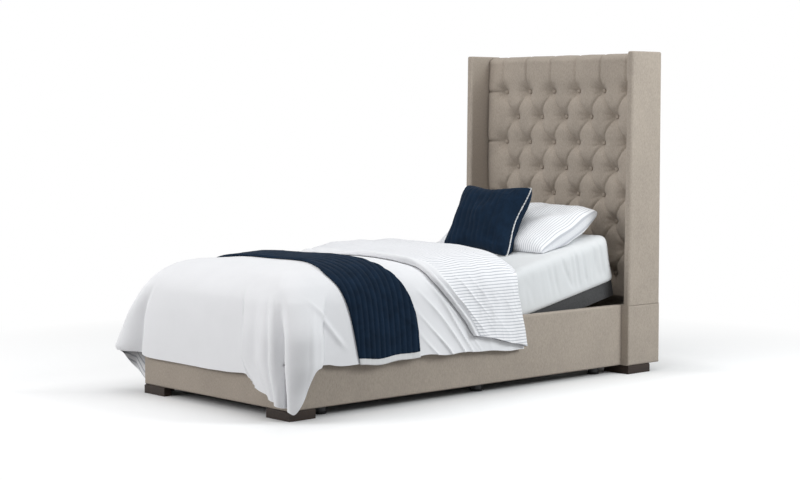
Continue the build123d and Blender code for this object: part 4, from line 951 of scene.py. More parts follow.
@dataclass
class DuvetForm:
    """The outer form of the duvet, shared by everything that lies on it."""

    hem_x: float = 0.572
    fan_y: float = -0.6
    foot_y: float = -1.155
    shoulder_round: float = 0.12
    hem_round: float = 0.05
    mattress_top: float = 0.531
    fold_length: float = 0.1
    foot_drop: float = 0.013
    middle_drop: float = 0.013
    half_length: float = field(init=False)
    side: Array = field(init=False)
    swell: float = 0.0042
    crease: float = 0.0135
    tuck: float = 0.009
    wrinkle: float = 0.0016
    head_hang: float = 0.022

    def __post_init__(self) -> None:
        """Half of the cross-section from the crown to the hem, evenly by length, as (x, z)."""
        points = [(0.0, 0.652), (0.14, 0.650), (0.28, 0.643), (0.38, 0.630), (0.45, 0.608), (0.505, 0.568)]
        points += [(0.538, 0.512), (0.553, 0.44), (0.562, 0.35), (0.568, 0.27), (0.572, 0.214)]
        self.side = smooth_path(points, 400)
        self.half_length = float(run_length(self.side)[-1])

    def settled(self, y: Array, z: Array) -> Array:
        """Height with the top sunk a little towards the foot end."""
        drop = self.foot_drop * ease(-y, 0.55, 0.9) + self.middle_drop * ridge(y, -0.3, 0.17)
        return z - drop * ease(z, 0.45, 0.62)

    def head_edge(self, s: Array) -> Array:
        """Y of the folded head edge across the bed."""
        line = [(-0.87, 0.27), (-0.7, 0.24), (-0.55, 0.225), (-0.45, 0.24), (-0.3, 0.26), (-0.1, 0.265)]
        line += [(0.036, 0.262), (0.186, 0.255), (0.369, 0.252), (0.45, 0.25), (0.5, 0.243), (0.55, 0.232)]
        line += [(0.6, 0.222), (0.65, 0.216), (0.7, 0.225), (0.77, 0.239), (0.846, 0.255), (0.889, 0.262)]
        return traced(line, s, 200)

    def fold_y(self, low: Array | float, high: Array, share: Array) -> Array:
        """Y at a share of the way to the head edge, measured along the surface and round its rolled fold.

        Args:
            low: Y where the way starts.
            high: Y of the head edge.
            share: Share of the way, 0 to 1.

        Returns:
            The Y values.
        """
        arc = self.fold_length * QUARTER
        flat = high - low - self.fold_length
        turn = arc / (flat + arc)
        before = low + share / (1 - turn) * flat
        after = high - self.fold_length * (1 - np.sin(np.clip((share - 1 + turn) / turn, 0, 1) * QUARTER))
        return np.where(share < 1 - turn, before, after)

    def at(self, s: Array, y: Array) -> Array:
        """Places of the plain form: the half section, lower beyond the fan line and round the head fold.

        Args:
            s: Signed lengths from the crown.
            y: Places along the bed.

        Returns:
            The places, before any folds.
        """
        length = np.linspace(0, self.half_length, len(self.side))
        x = np.sign(s) * np.interp(np.abs(s), length, self.side[:, 0])
        beyond = np.clip((self.fan_y - y) / (self.fan_y - self.foot_y), 0, 1)
        ceiling = np.interp(beyond, self.side[:, 0] / self.hem_x, self.side[:, 1])
        z = self.settled(y, np.minimum(np.interp(np.abs(s), length, self.side[:, 1]), ceiling))
        turn = np.clip((y - self.head_edge(s)) / self.fold_length + 1, 0, 1)
        base = self.mattress_top + np.maximum(y - RISE_FROM, 0) * math.tan(RAISED)
        z = np.where(z > base, base + (z - base) * np.sqrt(1 - turn**2), z)
        return join(x, y * np.ones_like(x), z)

    def hem_drop(self, s: Array, y: Array) -> Array:
        """Small waves of the side hem, which hangs lower by the head."""
        wave = 0.005 * np.sin(y * 13 + 0.6) + 0.003 * np.sin(y * 31) - self.head_hang * ease(y, -0.12, 0.1)
        return wave * ease(np.abs(s), self.half_length - 0.3, self.half_length)

    def laid(self, s: Array, y: Array) -> Array:
        """Places of the plain form with the waves of its side hem."""
        points = self.at(s, y)
        points[..., 2] += self.hem_drop(s, y)
        return points

    def outward(self, s: Array, y: Array) -> Array:
        """Unit normals of the plain form: the cross product of its slopes along s and y."""
        d, edge = 0.002, self.head_edge(s)
        across = self.at(s + d, y) - self.at(s - d, y)
        along = self.at(s, np.minimum(y + d, edge)) - self.at(s, np.minimum(y, edge) - 2 * d)
        return unit(np.cross(across, along))

    def folds(self, points: Array) -> Array:
        """How far the cloth stands off its plain form: broad swells, and slanting creases on both sides.

        Args:
            points: Places of the plain form.

        Returns:
            The distance at each place.
        """
        x, y, z = np.moveaxis(points, -1, 0)
        swell = self.swell * Ripple(21, (0.55, 0.5, 0.5)).at(points)
        slant = join(x, y + 0.75 * z, z)
        creases = Ripple(22, (5.0, 0.1, 0.55)).crease(slant, 0.45) * ease(0.6 - z, 0.0, 0.16)
        small = Ripple(23, (0.2, 0.16, 0.3)).crease(slant, 0.5) * ease(y, -0.9, -0.5)
        tuck = ridge(y + 1.0 - 0.85 * (0.47 - z), 0.0, 0.016) * ease(z, 0.27, 0.34)
        tuck *= 1 - ease(z, 0.44, 0.54)
        on_side = self.crease * creases * ridge(y, -0.2, 0.16) + self.tuck * tuck * (np.abs(x) > 0.5)
        return swell + on_side + self.wrinkle * small


# Hem heights round the foot by the signed length from each corner's tip.
NEAR_HEM = (
    *((-0.62, 0.170), (-0.42, 0.174), (-0.30, 0.180), (-0.27, 0.165), (-0.2, 0.138), (-0.12, 0.110)),
    *((-0.06, 0.088), (-0.03, 0.070), (-0.002, 0.050), (0.012, 0.040), (0.026, 0.07), (0.044, 0.13)),
    *((0.062, 0.185), (0.08, 0.216), (0.11, 0.228), (0.2, 0.228), (0.3, 0.214), (0.62, 0.214)),
)
FAR_HEM = (
    *((-0.62, 0.170), (-0.25, 0.172), (-0.10, 0.174), (-0.045, 0.182), (-0.01, 0.197), (0.012, 0.19)),
    *((0.035, 0.11), (0.06, 0.045), (0.085, 0.055), (0.13, 0.14), (0.2, 0.21), (0.3, 0.214), (0.62, 0.214)),
)


@dataclass
class Duvet:
    """White duvet with a striped reverse: head, seat and thigh parts, the foot end and its hanging skirt."""

    palette: Palette
    form: DuvetForm
    across: int = 250
    step: float = 0.009
    fold_rows: int = 46
    thickness: float = 0.016
    side_rays: int = 70
    corner_rays: int = 36
    foot_rays: int = 210
    joined_rays: int = 14
    rings: int = 120
    skirt_z: float = 0.5
    skirt_keep: float = 0.3
    far_tip: float = 0.12
    side_cut: int = 33

    def slab(self, name: str, part: Surface, thickness: Array) -> Piece:
        """Padded slab between an outer grid and the same grid moved inwards.

        Args:
            name: Name of the piece.
            part: Places, cloth coordinates and normals of the outer side.
            thickness: Thickness at each place.

        Returns:
            The piece.
        """
        outer, cloth, normals = part
        shell = Shell()
        top = shell.skin(shell.add(outer, cloth, normals))
        inner = outer - normals * thickness[..., None]
        shell.rim(top, shell.skin(shell.add(inner, cloth, -normals), 1, flip=True))
        return shell.piece(name, [self.palette["white_linen"], self.palette["reverse"]])

    def body_surface(self) -> Surface:
        """Grid from the fan line to the head edge.

        Returns:
            Places, cloth coordinates and normals.
        """
        f = self.form
        line = np.linspace(-f.half_length, f.half_length, 2 * self.across + 1)
        blocks = []
        for low, high in ((f.fan_y, THIGH_CUT), (THIGH_CUT, SEAT_CUT)):
            rows = np.linspace(low, high, int((high - low) / self.step), endpoint=False)
            blocks.append(rows[:, None] * np.ones_like(line))
        share = np.linspace(0, 1, self.fold_rows)[:, None]
        y = np.vstack([*blocks, f.fold_y(SEAT_CUT, f.head_edge(line)[None, :], share)])
        s = line * np.ones_like(y)
        plain = f.laid(s, y)
        normals = grid_normals(plain)
        normals *= np.sign(normals[:, self.across, 2])[:, None, None]
        points = plain + normals * f.folds(plain)[..., None]
        return points, join(s, y), upward(grid_normals(points), 5, self.across)

    def perimeter(self, radius: float) -> Array:
        """Hem line in plan from the near side round the foot to the far side, with rounded corners.

        Args:
            radius: Corner radius.

        Returns:
            (x, y) of each ray, the same count on every straight and corner for any radius.
        """
        f = self.form
        centre = (f.hem_x - radius, f.foot_y + radius)
        near = centre + radius * circle(np.linspace(0, -QUARTER, self.corner_rays))
        down = np.linspace((f.hem_x, f.fan_y), near[0], self.side_rays, endpoint=False)
        across = np.linspace(near[-1], near[-1] * (-1, 1), self.foot_rays + 2)[1:-1]
        return np.vstack([down, near, across, near[::-1] * (-1, 1), down[::-1] * (-1, 1)])

    def hem_heights(self, q: Array, near: Array) -> Array:
        """Height of the hem round the foot: level on the sides, hanging down to a tip at each corner."""
        height = np.where(near, traced(NEAR_HEM, q), traced(FAR_HEM, q))
        drop = self.form.hem_drop(np.full_like(q, self.form.half_length), self.form.foot_y + q)
        return height + drop * ease(q, 0.15, 0.4)

    def corner_stand_off(self, q: Array, near: Array, z: Array) -> Array:
        """How far the corner folds stand out: bells across q that run together towards the hanging tip.

        Args:
            q: Signed length from the corner's tip, the foot side negative.
            near: Whether a ray is on the near side.
            z: Heights.

        Returns:
            The distance at each place.
        """
        q = q / (1 - 0.5 * ease(0.27 - z, 0.0, 0.22))
        depth = ease(0.57 - z, 0.0, 0.24)
        small = ease(0.54 - z, 0.0, 0.1)
        gathered = 1 - 0.7 * ease(0.25 - z, 0.0, 0.14)
        first = (
            0.032 * ease(q, -0.294, -0.285)
            - 0.020 * ridge(q, -0.303, 0.007)
            - 0.009 * ridge(q, -0.205, 0.03) * small
            + 0.010 * ridge(q, -0.135, 0.03)
            - 0.007 * ridge(q, -0.098, 0.010) * small
            + 0.012 * ridge(q, -0.068, 0.020)
            - 0.044 * ridge(q, -0.026, 0.014)
            + (0.042 * ridge(q, 0.058, 0.054) + 0.018 * ridge(q, 0.118, 0.028)) * gathered
        )
        first = first * (1 - ease(q, 0.142, 0.158)) - 0.008 * ridge(q, 0.164, 0.009)
        flare = np.clip((0.64 - z) / 0.4, 0, 1.1) * (1 - 0.25 * ease(0.225 - z, 0.0, 0.05))
        second = -0.016 * ridge(q, -0.026, 0.010) - 0.014 * ridge(q, 0.12, 0.018)
        second += 0.020 * ridge(q, 0.17, 0.035)
        second = second * depth + self.far_tip * ridge(q, 0.004, np.where(q < 0.004, 0.02, 0.085)) * flare
        return np.where(near, first * depth, second)

    def fan_surface(self) -> tuple[Array, Array]:
        """Grid over (rays, rings) of the foot end, from the middle of the fan line out to the hem.

        A ray's line in plan runs to the shoulder's perimeter and moves over to the hem's on the way down.

        Returns:
            Places and cloth coordinates.
        """
        f = self.form
        upper, lower = self.perimeter(f.shoulder_round), self.perimeter(f.hem_round)
        step = unit(np.gradient(lower, axis=0))
        out = np.stack([-step[:, 1], step[:, 0]], axis=1)
        out *= np.sign((out * (lower - (0, f.fan_y))).sum(axis=1))[:, None]
        length = run_length(lower)
        tip = f.fan_y - f.foot_y - f.hem_round * (1 - np.pi / 4)
        near = lower[:, 0] > 0
        q = np.where(near, tip - length, length - (length[-1] - tip))
        section = even(f.side, self.rings + 1)[1:]
        z = section[None, :, 1] * np.ones((len(q), 1))
        sharp = ease(0.56 - z, 0.0, 0.2)[..., None]
        middle = np.array([0, f.fan_y])
        line = upper[:, None, :] * (1 - sharp) + lower[:, None, :] * sharp
        plan = middle + (line - middle) * (section[:, 0] / f.hem_x)[None, :, None]
        stretch = (self.skirt_z - self.hem_heights(q, near)[:, None]) / (self.skirt_z - section[-1, 1])
        z = np.where(z < self.skirt_z, self.skirt_z - (self.skirt_z - z) * stretch, z)
        off = self.corner_stand_off(q[:, None] * np.ones_like(z), near[:, None], z)
        z = f.settled(plan[..., 1], z)
        points = np.concatenate([plan + out[:, None, :] * off[..., None], z[..., None]], axis=-1)
        points += self.fan_normals(points) * f.folds(points)[..., None]
        reach = np.linspace(0, 1, self.rings + 1)[None, 1:, None] * f.half_length
        return points, reach * circle(np.arctan2(points[..., 1] - f.fan_y, points[..., 0]))

    def fan_normals(self, points: Array) -> Array:
        """Normals of the foot end's grid."""
        return upward(grid_normals(points), len(points) // 2, 10)

    def crown(self, part: Surface, centre: Array, up: Array) -> Piece:
        """The foot end above the skirt: rays from the centre of the fan line, above and below.

        Args:
            part: Places, cloth coordinates and normals of the upper side.
            centre: Place where the rays meet.
            up: Normal there.

        Returns:
            The piece.
        """
        points, cloth, normals = part
        shell = Shell()
        top = shell.add(points, cloth, normals)
        hub = shell.add(centre[None, None], np.zeros((1, 1, 2)), up[None, None])
        under = shell.add(points - normals * self.thickness, cloth, -normals)
        low_hub = shell.add((centre - (0, 0, self.thickness))[None, None])
        hubs, low_hubs = (np.repeat(middle, len(points), axis=0) for middle in (hub, low_hub))
        top = shell.skin(np.concatenate([hubs, top], axis=1))
        under = shell.skin(np.concatenate([low_hubs, under], axis=1), 1, flip=True)
        for a, b in ((top[0], under[0]), (under[-1], top[-1]), (top[:, -1], under[:, -1])):
            shell.strip(a, b)
        piece = shell.piece("duvet_foot", [self.palette["white_linen"], self.palette["reverse"]])
        return KNEE_BEND.apply(piece, "white_linen", 0.5)

    def fan(self, body: Surface) -> list[Piece]:
        """The foot end, joined at its first and last rays to the rows up to the thigh cut.

        Args:
            body: The surface from the fan line to the head edge.

        Returns:
            The crown, and the near, foot and far parts of the skirt.
        """
        points, cloth = self.fan_surface()
        first, total = body[0][0], len(points)
        rows, length = np.linspace(0, 1, self.rings + 1)[1:], np.linspace(0, 1, self.across + 1)[1:]
        for ray, half in ((0, first[self.across + 1 :]), (total - 1, first[: self.across][::-1])):
            match = np.stack([np.interp(rows, length, column) for column in half.T], axis=1)
            fade = ease(np.abs(np.arange(total) - ray), 0, self.joined_rays)[:, None, None]
            points = points * fade + (points - points[ray] + match) * (1 - fade)
        whole = (points, cloth, self.fan_normals(points))
        ring = int(np.argmin(np.abs(even(self.form.side, self.rings + 1)[1:, 1] - self.skirt_z)))
        top = tuple(grid[:, : ring + 1] for grid in whole)
        made = [self.crown(top, first[self.across], body[2][0, self.across])]
        along = np.clip((np.linspace(0, 1, self.rings - ring) - 0.9) / 0.1, 0, 1)
        thick = self.thickness * (0.15 + 0.85 * np.sqrt(1 - along**2)) * np.ones((total, 1))
        last = total - 1 - self.side_cut
        plan = (
            ("duvet_side_near", slice(0, self.side_cut + 1)),
            ("duvet_foot_skirt", slice(self.side_cut, last + 1)),
            ("duvet_side_far", slice(last, None)),
        )
        for name, part in plan:
            piece = self.slab(name, tuple(grid[part, ring:] for grid in whole), thick[part])
            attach(piece, "calf_section")
            made.append(piece)
        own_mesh(made[2])
        return made

    def build(self) -> list[Piece]:
        """The parts over the calf, the thigh and the head bend, then the foot end."""
        body = self.body_surface()
        y = body[1][:, 0, 1]
        thigh_row, seat_row = (int(np.argmin(np.abs(y - cut))) for cut in (THIGH_CUT, SEAT_CUT))
        column = np.arange(body[0].shape[1], dtype=float)
        edge = 0.35 + 0.65 * ease(np.minimum(column, column[::-1]), 0, 12)
        thick = self.thickness * edge * np.ones(body[0].shape[:2])
        made = []
        plan = (
            ("duvet_thigh", slice(0, thigh_row + 1), KNEE_BEND),
            ("duvet_seat", slice(thigh_row, seat_row + 1), THIGH_BEND),
            ("duvet_head", slice(seat_row, None), HEAD_BEND),
        )
        for name, part, bend in plan:
            piece = self.slab(name, tuple(grid[part] for grid in body), thick[part])
            if name == "duvet_seat":
                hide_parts("duvet")
            made.append(bend.apply(piece, "white_linen", 0.5))
        return made + self.fan(body)


@dataclass
class TurnDown:
    """Head end of the duvet, turned back on itself so that the striped reverse shows."""

    palette: Palette
    form: DuvetForm
    across: int = 230
    thickness: float = 0.024
    roll: float = 0.0145
    clearance: float = 0.0012
    upper: int = 100
    lower: int = 40
    rolled: int = 17
    cut_points: int = 80
    hem_slant: float = 0.07

    def free_edge(self, s: Array) -> Array:
        """Y of the free rolled edge across the bed."""
        line = [(-0.89, -0.19), (-0.78, -0.22), (-0.65, -0.26), (-0.5, -0.27), (-0.38, -0.31), (-0.29, -0.34)]
        line += [(-0.1, -0.40), (0.065, -0.445), (0.225, -0.455), (0.329, -0.438), (0.413, -0.395)]
        line += [(0.462, -0.355), (0.495, -0.33), (0.541, -0.315), (0.586, -0.303), (0.624, -0.28)]
        line += [(0.663, -0.25), (0.701, -0.214), (0.739, -0.178), (0.78, -0.144), (0.823, -0.11)]
        line += [(0.89, -0.07)]
        return traced(line, s, 240)

    def profile(self) -> Array:
        """Closed cross-section of the flap as (share towards the head edge, extra y, height above the duvet).

        It has a fat rolled free edge with a stitched groove inside it, a flat middle and a rounded fold.

        Returns:
            The upper side from the free edge to the fold, then the lower side back.
        """
        t, r = self.thickness, self.roll
        points = [(0, 0.002, 0.002), (0, -r * 0.55, r * 0.6), (0, -r * 0.5, r * 1.5), (0, r * 0.15, r * 2.1)]
        points += [(0, r * 0.95, r * 1.85), (0, r * 1.45, r), (0.03, r * 1.4, t - 0.003), (0.08, r * 1.2, t)]
        points += [(0.5, 0, t), (0.93, 0, t + 0.002), (0.97, 0, t), (0.992, 0, t * 0.8), (1, 0, t * 0.45)]
        points += [(0.996, 0, self.clearance)]
        share = np.linspace(0.985, 0.012, self.lower)
        under = np.stack([share, 0 * share, np.full_like(share, self.clearance)], axis=1)
        return np.vstack([smooth_path(points, self.upper), under])

    def surface(self) -> Surface:
        """The closed loop of the flap at each station across the bed.

        Returns:
            Places, cloth coordinates and normals over (stations, loop).
        """
        limit = self.form.half_length - 0.012
        s = np.linspace(-limit, limit, 2 * self.across + 1)[:, None]
        share, extra, height = (column[None, :] for column in self.profile().T)
        y = self.form.fold_y(self.free_edge(s), self.form.head_edge(s), share) + extra
        sweep = s * (1 - self.hem_slant * (1 - share))
        base = self.form.laid(sweep, y)
        puffs = 0.0018 * Ripple(41, (0.22, 0.09, 0.3)).at(base)
        rumples = 0.002 * Ripple(42, (0.5, 0.07, 0.12)).crease(base)
        height = height + ease(height, 0.006, 0.02) * (puffs + rumples)
        height = height * (1 - 0.55 * (1 - ease(y, -0.45, -0.12)) * (1 - ease(s, 0.02, 0.3)))
        off = self.form.folds(base) + self.clearance + height
        points = base + self.form.outward(sweep, y) * off[..., None]
        return points, join(sweep, y), upward(loop_normals(points), self.across, 60)

    def cut_side(self, surface: Surface, columns: slice, way: int, half: Half) -> list[Array]:
        """One side of the flap, drawn onto the seat cut and spread evenly over what it keeps.

        Args:
            surface: Places, cloth coordinates and normals.
            columns: The side's columns.
            way: 1 where y rises along them, -1 where it falls.
            half: Which side of the cut is kept.

        Returns:
            The three grids of that side.
        """
        y = surface[1][:, columns, 1][:, ::way]
        index = np.arange(y.shape[1])
        rising = np.maximum.accumulate(y, axis=1) + index * 1e-9
        cut = np.array([np.interp(SEAT_CUT, row, index) for row in rising])
        ends = (cut, float(index[-1])) if half is Half.HEAD else (0.0, cut)
        at = np.linspace(*ends, self.cut_points, axis=1)
        low = np.minimum(at.astype(int), index[-1] - 1)
        share, row = (at - low)[..., None], np.arange(len(at))[:, None]
        grids = (grid[:, columns][:, ::way] for grid in surface)
        return [(grid[row, low] * (1 - share) + grid[row, low + 1] * share)[:, ::way] for grid in grids]

    def part(self, name: str, bend: Bend, half: Half, surface: Surface) -> Piece:
        """Closed piece of the flap on one side of the seat cut.

        Args:
            name: Name of the piece.
            bend: The joint stretch that it lies across.
            half: Which side of the cut it is.
            surface: The whole flap.

        Returns:
            The piece.
        """
        above = self.cut_side(surface, slice(0, self.upper), 1, half)
        under = self.cut_side(surface, slice(self.upper, None), -1, half)
        shell = Shell()
        numbers = shell.add(*(np.concatenate(pair, axis=1) for pair in zip(above, under)))
        edge = 0 if half is Half.HEAD else self.rolled
        ring = wrap(numbers)
        shell.skin(ring[:, : edge + 1], 1)
        shell.skin(ring[:, edge:], 0)
        shell.caps(numbers)
        piece = shell.piece(name, [self.palette["reverse"], self.palette["white_linen"]])
        return bend.apply(piece, "white_linen", 0.4)

    def build(self) -> list[Piece]:
        """The flap as two parts, one on each side of the seat cut."""
        surface = self.surface()
        seat = self.part("turn_down_seat", THIGH_BEND, Half.SEAT, surface)
        return [seat, self.part("turn_down_head", HEAD_BEND, Half.HEAD, surface)]


@dataclass
class Throw:
    """Quilted throw across the bed, sewn in channels that run over it from hem to hem."""

    palette: Palette
    form: DuvetForm
    across: int = 200
    along: int = 118
    lift: float = 0.003
    thickness: float = 0.005
    rib: float = 0.006
    hem_band: float = 0.028

    def edges(self, s: Array) -> tuple[Array, Array]:
        """Y of the foot and head edges across the bed."""
        foot = [(-0.89, -0.785), (-0.7, -0.81), (-0.58, -0.815), (-0.45, -0.805), (-0.27, -0.785)]
        foot += [(-0.07, -0.778), (0.2, -0.79), (0.35, -0.822), (0.446, -0.848), (0.569, -0.832)]
        foot += [(0.691, -0.805), (0.89, -0.772)]
        head = [(-0.89, -0.42), (-0.7, -0.45), (-0.5, -0.53), (-0.3, -0.57), (0.029, -0.569)]
        head += [(0.304, -0.572), (0.4, -0.55), (0.472, -0.52), (0.581, -0.468), (0.65, -0.443)]
        head += [(0.721, -0.425), (0.89, -0.416)]
        return traced(foot, s), traced(head, s)

    def build(self) -> list[Piece]:
        """The throw over the duvet's form: channels as |sin(lane)| ** 0.6, flatter on its hem bands."""
        half_length = self.form.half_length
        limit = half_length + 0.004
        s = np.linspace(-limit, limit, 2 * self.across + 1)
        foot, head = self.edges(s)
        v = np.linspace(0, 1, self.along)
        y = foot[:, None] + v[None, :] * (head - foot)[:, None]
        sweep = s[:, None] * np.ones_like(y)
        base = self.form.laid(sweep, y)
        base[..., 2] -= np.maximum(np.abs(sweep) - half_length, 0)
        normal = self.form.outward(np.clip(sweep, -half_length, half_length), y)
        lane = y / RIB_PITCH + 0.06 * Ripple(51, (0.4, 0.4, 0.4)).at(base)
        band = ease(np.abs(sweep), limit - self.hem_band - 0.002, limit - self.hem_band + 0.002)
        height = self.thickness + self.rib * np.abs(np.sin(np.pi * lane)) ** 0.6 * (1 - band * 0.8)
        edge = np.minimum(v, 1 - v)[None, :] * (head - foot)[:, None]
        height = height * (0.45 + 0.55 * ease(edge, 0, 0.008))
        lift = self.form.folds(base) + self.lift
        cloth = join(sweep, y)
        shell = Shell()
        top = shell.add(base + normal * (lift + height)[..., None], cloth)
        under = shell.add(base + normal * lift[..., None], cloth)
        cut = int(np.argmin(np.abs(s + limit - self.hem_band)))
        last = len(s) - 1 - cut
        for part, finish in ((slice(0, cut + 1), 1), (slice(cut, last + 1), 0), (slice(last, None), 1)):
            shell.skin(top[part], finish)
            shell.skin(under[part], finish, flip=True)
        shell.rim(top, under)
        piece = shell.piece("quilted_throw", [self.palette["navy_quilting"], self.palette["trim"]])
        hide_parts("throw")
        return [KNEE_BEND.apply(piece, "navy_quilting", 0.2)]


# Pillows


@dataclass
class Pillow:
    """Stuffed cover: two crowned sides that meet at a seam, drawn in between pointed corners."""

    name: str
    node: str
    finish: Material
    slot: str
    size: Triple
    centre: Triple
    slope: float
    seed: int
    plump: float
    draw_in: float
    end_draw: float
    cover: Cover = Cover.PLAIN
    piping: Material | None = None
    piping_radius: float = 0.0038
    seam: float = 0.0035
    rib: float = 0.0065
    floor: float = 0.5325
    cells: int = 96

    def sides(self) -> Surface:
        """Both sides lying flat: a height of ((1 - |a|^2.3)(1 - |b|^2.3))^plump over the cover's (a, b).

        Returns:
            Upper grid, lower grid and cloth coordinates.
        """
        width, depth, crown = self.size
        u = np.sin(np.linspace(-QUARTER, QUARTER, self.cells))
        a, b = np.meshgrid(u, u, indexing="ij")
        x = width / 2 * a * (1 - self.end_draw * np.cos(np.pi * b / 2) ** 2)
        y = depth / 2 * b * (1 - self.draw_in * 1.2 * np.cos(np.pi * a / 2) ** 2)
        full = ((1 - np.abs(a) ** 2.3) * (1 - np.abs(b) ** 2.3)) ** self.plump
        flat = join(x, y, np.zeros_like(x))
        soft = Ripple(self.seed, (0.16, 0.16, 1.0)).at(flat)
        gathers = Ripple(self.seed + 1, (0.07, 0.07, 1.0)).crease(flat)
        corner = np.abs(a * b) ** 1.5
        edge = (1 - np.abs(a) ** 8) * (1 - np.abs(b) ** 8)
        height = crown / 2 * full * (1 + 0.05 * soft) + self.seam
        height += edge * gathers * (0.010 * corner**0.7 - 0.004 * (1 - corner) * (1 - full))
        if self.cover is Cover.RIBBED:
            height += self.rib * edge * np.abs(np.sin(np.pi * (x / CUSHION_RIB_PITCH + 0.05 * soft))) ** 0.55
        height *= edge > 0
        upper, lower = (join(x, y, side * height) for side in (1, -1))
        return upper, lower, join(width / 2 * a, depth / 2 * b)

    def place(self, points: Array) -> Array:
        """Lean the pillow and press it flat where it rests on the mattress."""
        x, y, z = np.moveaxis(points, -1, 0)
        cos, sin = math.cos(math.radians(self.slope)), math.sin(math.radians(self.slope))
        out = join(x, y * cos - z * sin, y * sin + z * cos) + self.centre
        mattress = self.floor + np.maximum(out[..., 1] - RISE_FROM, 0) * math.tan(RAISED)
        out[..., 2] = np.maximum(out[..., 2], mattress)
        return out

    def piped(self, rim: Array) -> Piece:
        """Cord along the seam, with the small waves of its stitches."""
        rim = self.place(rim * (1.004, 1.004, 0))
        rim[:, 2] += 0.0012 * np.sin(np.arange(len(rim)) * 1.9)
        shell = Shell()
        tube(shell, rim, self.piping_radius)
        trim = shell.piece(self.name + "_piping", [self.piping])
        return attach(trim, "head_section")

    def build(self) -> list[Piece]:
        """The cover, and its piping where it has one."""
        upper, lower, cloth = self.sides()
        shell = Shell()
        top = shell.skin(shell.add(self.place(upper), cloth))
        under = shell.add(self.place(lower), cloth)
        for edge in (np.s_[0, :], np.s_[-1, :], np.s_[:, 0], np.s_[:, -1]):
            under[edge] = top[edge]
        shell.skin(under, flip=True)
        piece = shell.piece(self.name, [self.finish])
        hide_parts(self.node)
        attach(piece, "head_section")
        return [piece, self.piped(border(upper.swapaxes(0, 1)))] if self.piping else [piece]


# Carried-over nodes


@dataclass
class Hardware:
    """The CAD nodes that stay: boards, decks, steelwork and drive."""

    palette: Palette
    frame: dict

    # Small parts whose finish isn't that of the slot they share.
    OWN = {
        "headboard_brackets": "plated_steel",
        "retainer_bar": "plated_steel",
        "calf_wheels": "black_rubber",
    }

    def build(self) -> None:
        """Give every node the finish of its slot in the record, or its own."""
        slots = {row["node"]: row["material_slot"] for row in self.frame["record"]["subparts"]} | self.OWN
        for name, node in self.frame["nodes"].items():
            node.data.materials.clear()
            node.data.materials.append(self.palette[slots[name]])


# Studio


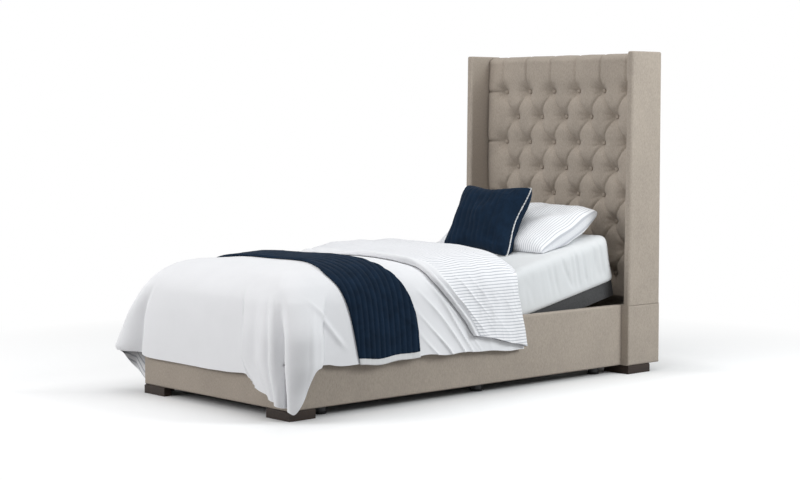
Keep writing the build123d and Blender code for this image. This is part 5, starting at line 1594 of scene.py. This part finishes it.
@dataclass
class Studio:
    """Floor, soft lamps and the camera of the photograph."""

    camera_place: Triple = (6.3678, -5.7708, 1.292)
    elevation: float = 4.02
    azimuth: float = 47.89
    lens: float = 80.21
    floor_radius: float = 30.0
    white_from: float = 1.9
    white_over: float = 1.3
    bed_half_width: float = 0.5
    bed_half_length: float = 1.1
    shade_width: float = 0.55
    lift: float = 0.24
    world_tint: tuple[float, float, float, float] = (0.97, 0.985, 1.0, 1)
    world_level: float = 0.42

    def camera(self) -> None:
        """Camera at the photograph's angle."""
        data = bpy.data.cameras.new("camera")
        data.lens = self.lens
        data.sensor_width = 36
        data.clip_end = 100
        made = linked("camera", data)
        made.location = self.camera_place
        made.rotation_euler = (math.radians(90 - self.elevation), 0, math.radians(self.azimuth))
        bpy.context.scene.camera = made

    def floor(self) -> None:
        """Wide pale disc; camera rays see it a little brighter, so that it runs into the white behind, but
        not near the bed, where leaving out that glow paints shade round and under the bed.
        """
        ring = np.pad(self.floor_radius * circle(np.linspace(0, TURN, 96, endpoint=False)), ((0, 0), (0, 1)))
        mesh = bpy.data.meshes.new("floor")
        mesh.from_pydata(ring.tolist(), [], [list(range(len(ring)))])
        g = Graph(bpy.data.materials.new("floor"))
        x, y, _ = g.axes(g.place())
        away = (((x * x + y * y).math("POWER", 0.5) - self.white_from) / self.white_over).clamped()
        # Painted shade: the camera glow fades out over shade_width towards the bed's footprint, so the floor
        # round and under the bed stays darker.
        side, end = x.math("ABSOLUTE") - self.bed_half_width, y.math("ABSOLUTE") - self.bed_half_length
        glow_past_painted_shade = (side.math("MAXIMUM", end) / self.shade_width).clamped()
        colour = g.mix(g.noise(g.place(), 40, 2), tone(238, 238, 238), tone(240, 240, 240))
        pale, dull = (g.out("ShaderNodeBsdfDiffuse", {"Color": c}) for c in (colour, tone(178, 178, 178)))
        glow, bare = (g.out("ShaderNodeEmission", {"Color": WHITE, "Strength": s}) for s in (self.lift, 1.0))
        lifted = g.either(glow_past_painted_shade, pale, g.out("ShaderNodeAddShader", {0: pale, 1: glow}))
        mesh.materials.append(g.close(g.either(g.seen(), dull, g.either(away, lifted, bare))))
        linked("floor", mesh)

    def world(self) -> None:
        """Even grey light; the camera sees it as white."""
        bpy.context.scene.world = bpy.data.worlds.new("studio")
        g = Graph(bpy.context.scene.world)
        plain = g.out("ShaderNodeBackground", {"Color": self.world_tint, "Strength": self.world_level})
        white = g.out("ShaderNodeBackground", {"Color": WHITE, "Strength": 1.0})
        g.close(g.either(g.seen(), plain, white), "ShaderNodeOutputWorld")

    def lamp(self, name: str, place: Triple, target: Triple, size: float, power: float) -> bpy.types.Light:
        """Square soft lamp turned to a target.

        Args:
            name: Name of the lamp.
            place: Where it is.
            target: What it points at.
            size: Its side.
            power: Its power in watts.

        Returns:
            The light.
        """
        data = bpy.data.lights.new(name, "AREA")
        data.size = size
        data.energy = power
        made = linked(name, data)
        made.location = place
        aim = unit(np.asarray(target, float) - place)
        made.rotation_euler = (math.acos(-aim[2]), 0, math.atan2(aim[1], aim[0]) - math.pi / 2)
        return data

    def build(self) -> None:
        """Set up the studio."""
        self.camera()
        self.floor()
        self.world()
        self.lamp("key", (3.5, 1.7, 2.35), (0.5, 0.6, 0.7), 1.5, 93).color = (0.95, 0.985, 1.0)
        self.lamp("top", (0.4, -0.9, 4.8), (0, 0, 0.4), 3.6, 62)
        self.lamp("fill", (-2.2, -5.6, 3.0), (0, 0.4, 0.7), 3.2, 162)
        bpy.context.scene.view_settings.view_transform = "Standard"


def pillows(palette: Palette) -> list[Pillow]:
    """The sleeping pillow and the cushion against it."""
    sleeping = Pillow(
        name="sleeping_pillow",
        node="pillow",
        finish=palette["pillow"],
        slot="white_linen",
        size=(0.745, 0.44, 0.166),
        centre=(0.006, 0.784, 0.706),
        slope=25.0,
        seed=61,
        plump=0.32,
        draw_in=0.045,
        end_draw=-0.05,
    )
    cushion = Pillow(
        name="navy_cushion",
        node="scatter_cushion",
        finish=palette["navy_quilting"],
        slot="navy_quilting",
        size=(0.446, 0.374, 0.172),
        centre=(-0.02, 0.598, 0.757),
        slope=62.2,
        seed=71,
        plump=0.34,
        draw_in=0.12,
        end_draw=0.12,
        cover=Cover.RIBBED,
        piping=palette["trim"],
    )
    return [sleeping, cushion]


def main() -> None:
    """Build the classes in order and report each piece."""
    logging.basicConfig(level=logging.INFO, format="%(message)s")
    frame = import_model()
    Studio().build()
    palette = {key: finish.material() for key, finish in FINISHES.items()}
    Hardware(palette, frame).build()
    form = DuvetForm()
    bedding = [Duvet(palette, form), TurnDown(palette, form), Throw(palette, form), *pillows(palette)]
    for builder in [Headboard(palette), Mattress(palette), *bedding]:
        for piece in builder.build():
            log.info("%s: %d faces", piece.name, len(piece.data.polygons))


if __name__ == "__main__":
    main()
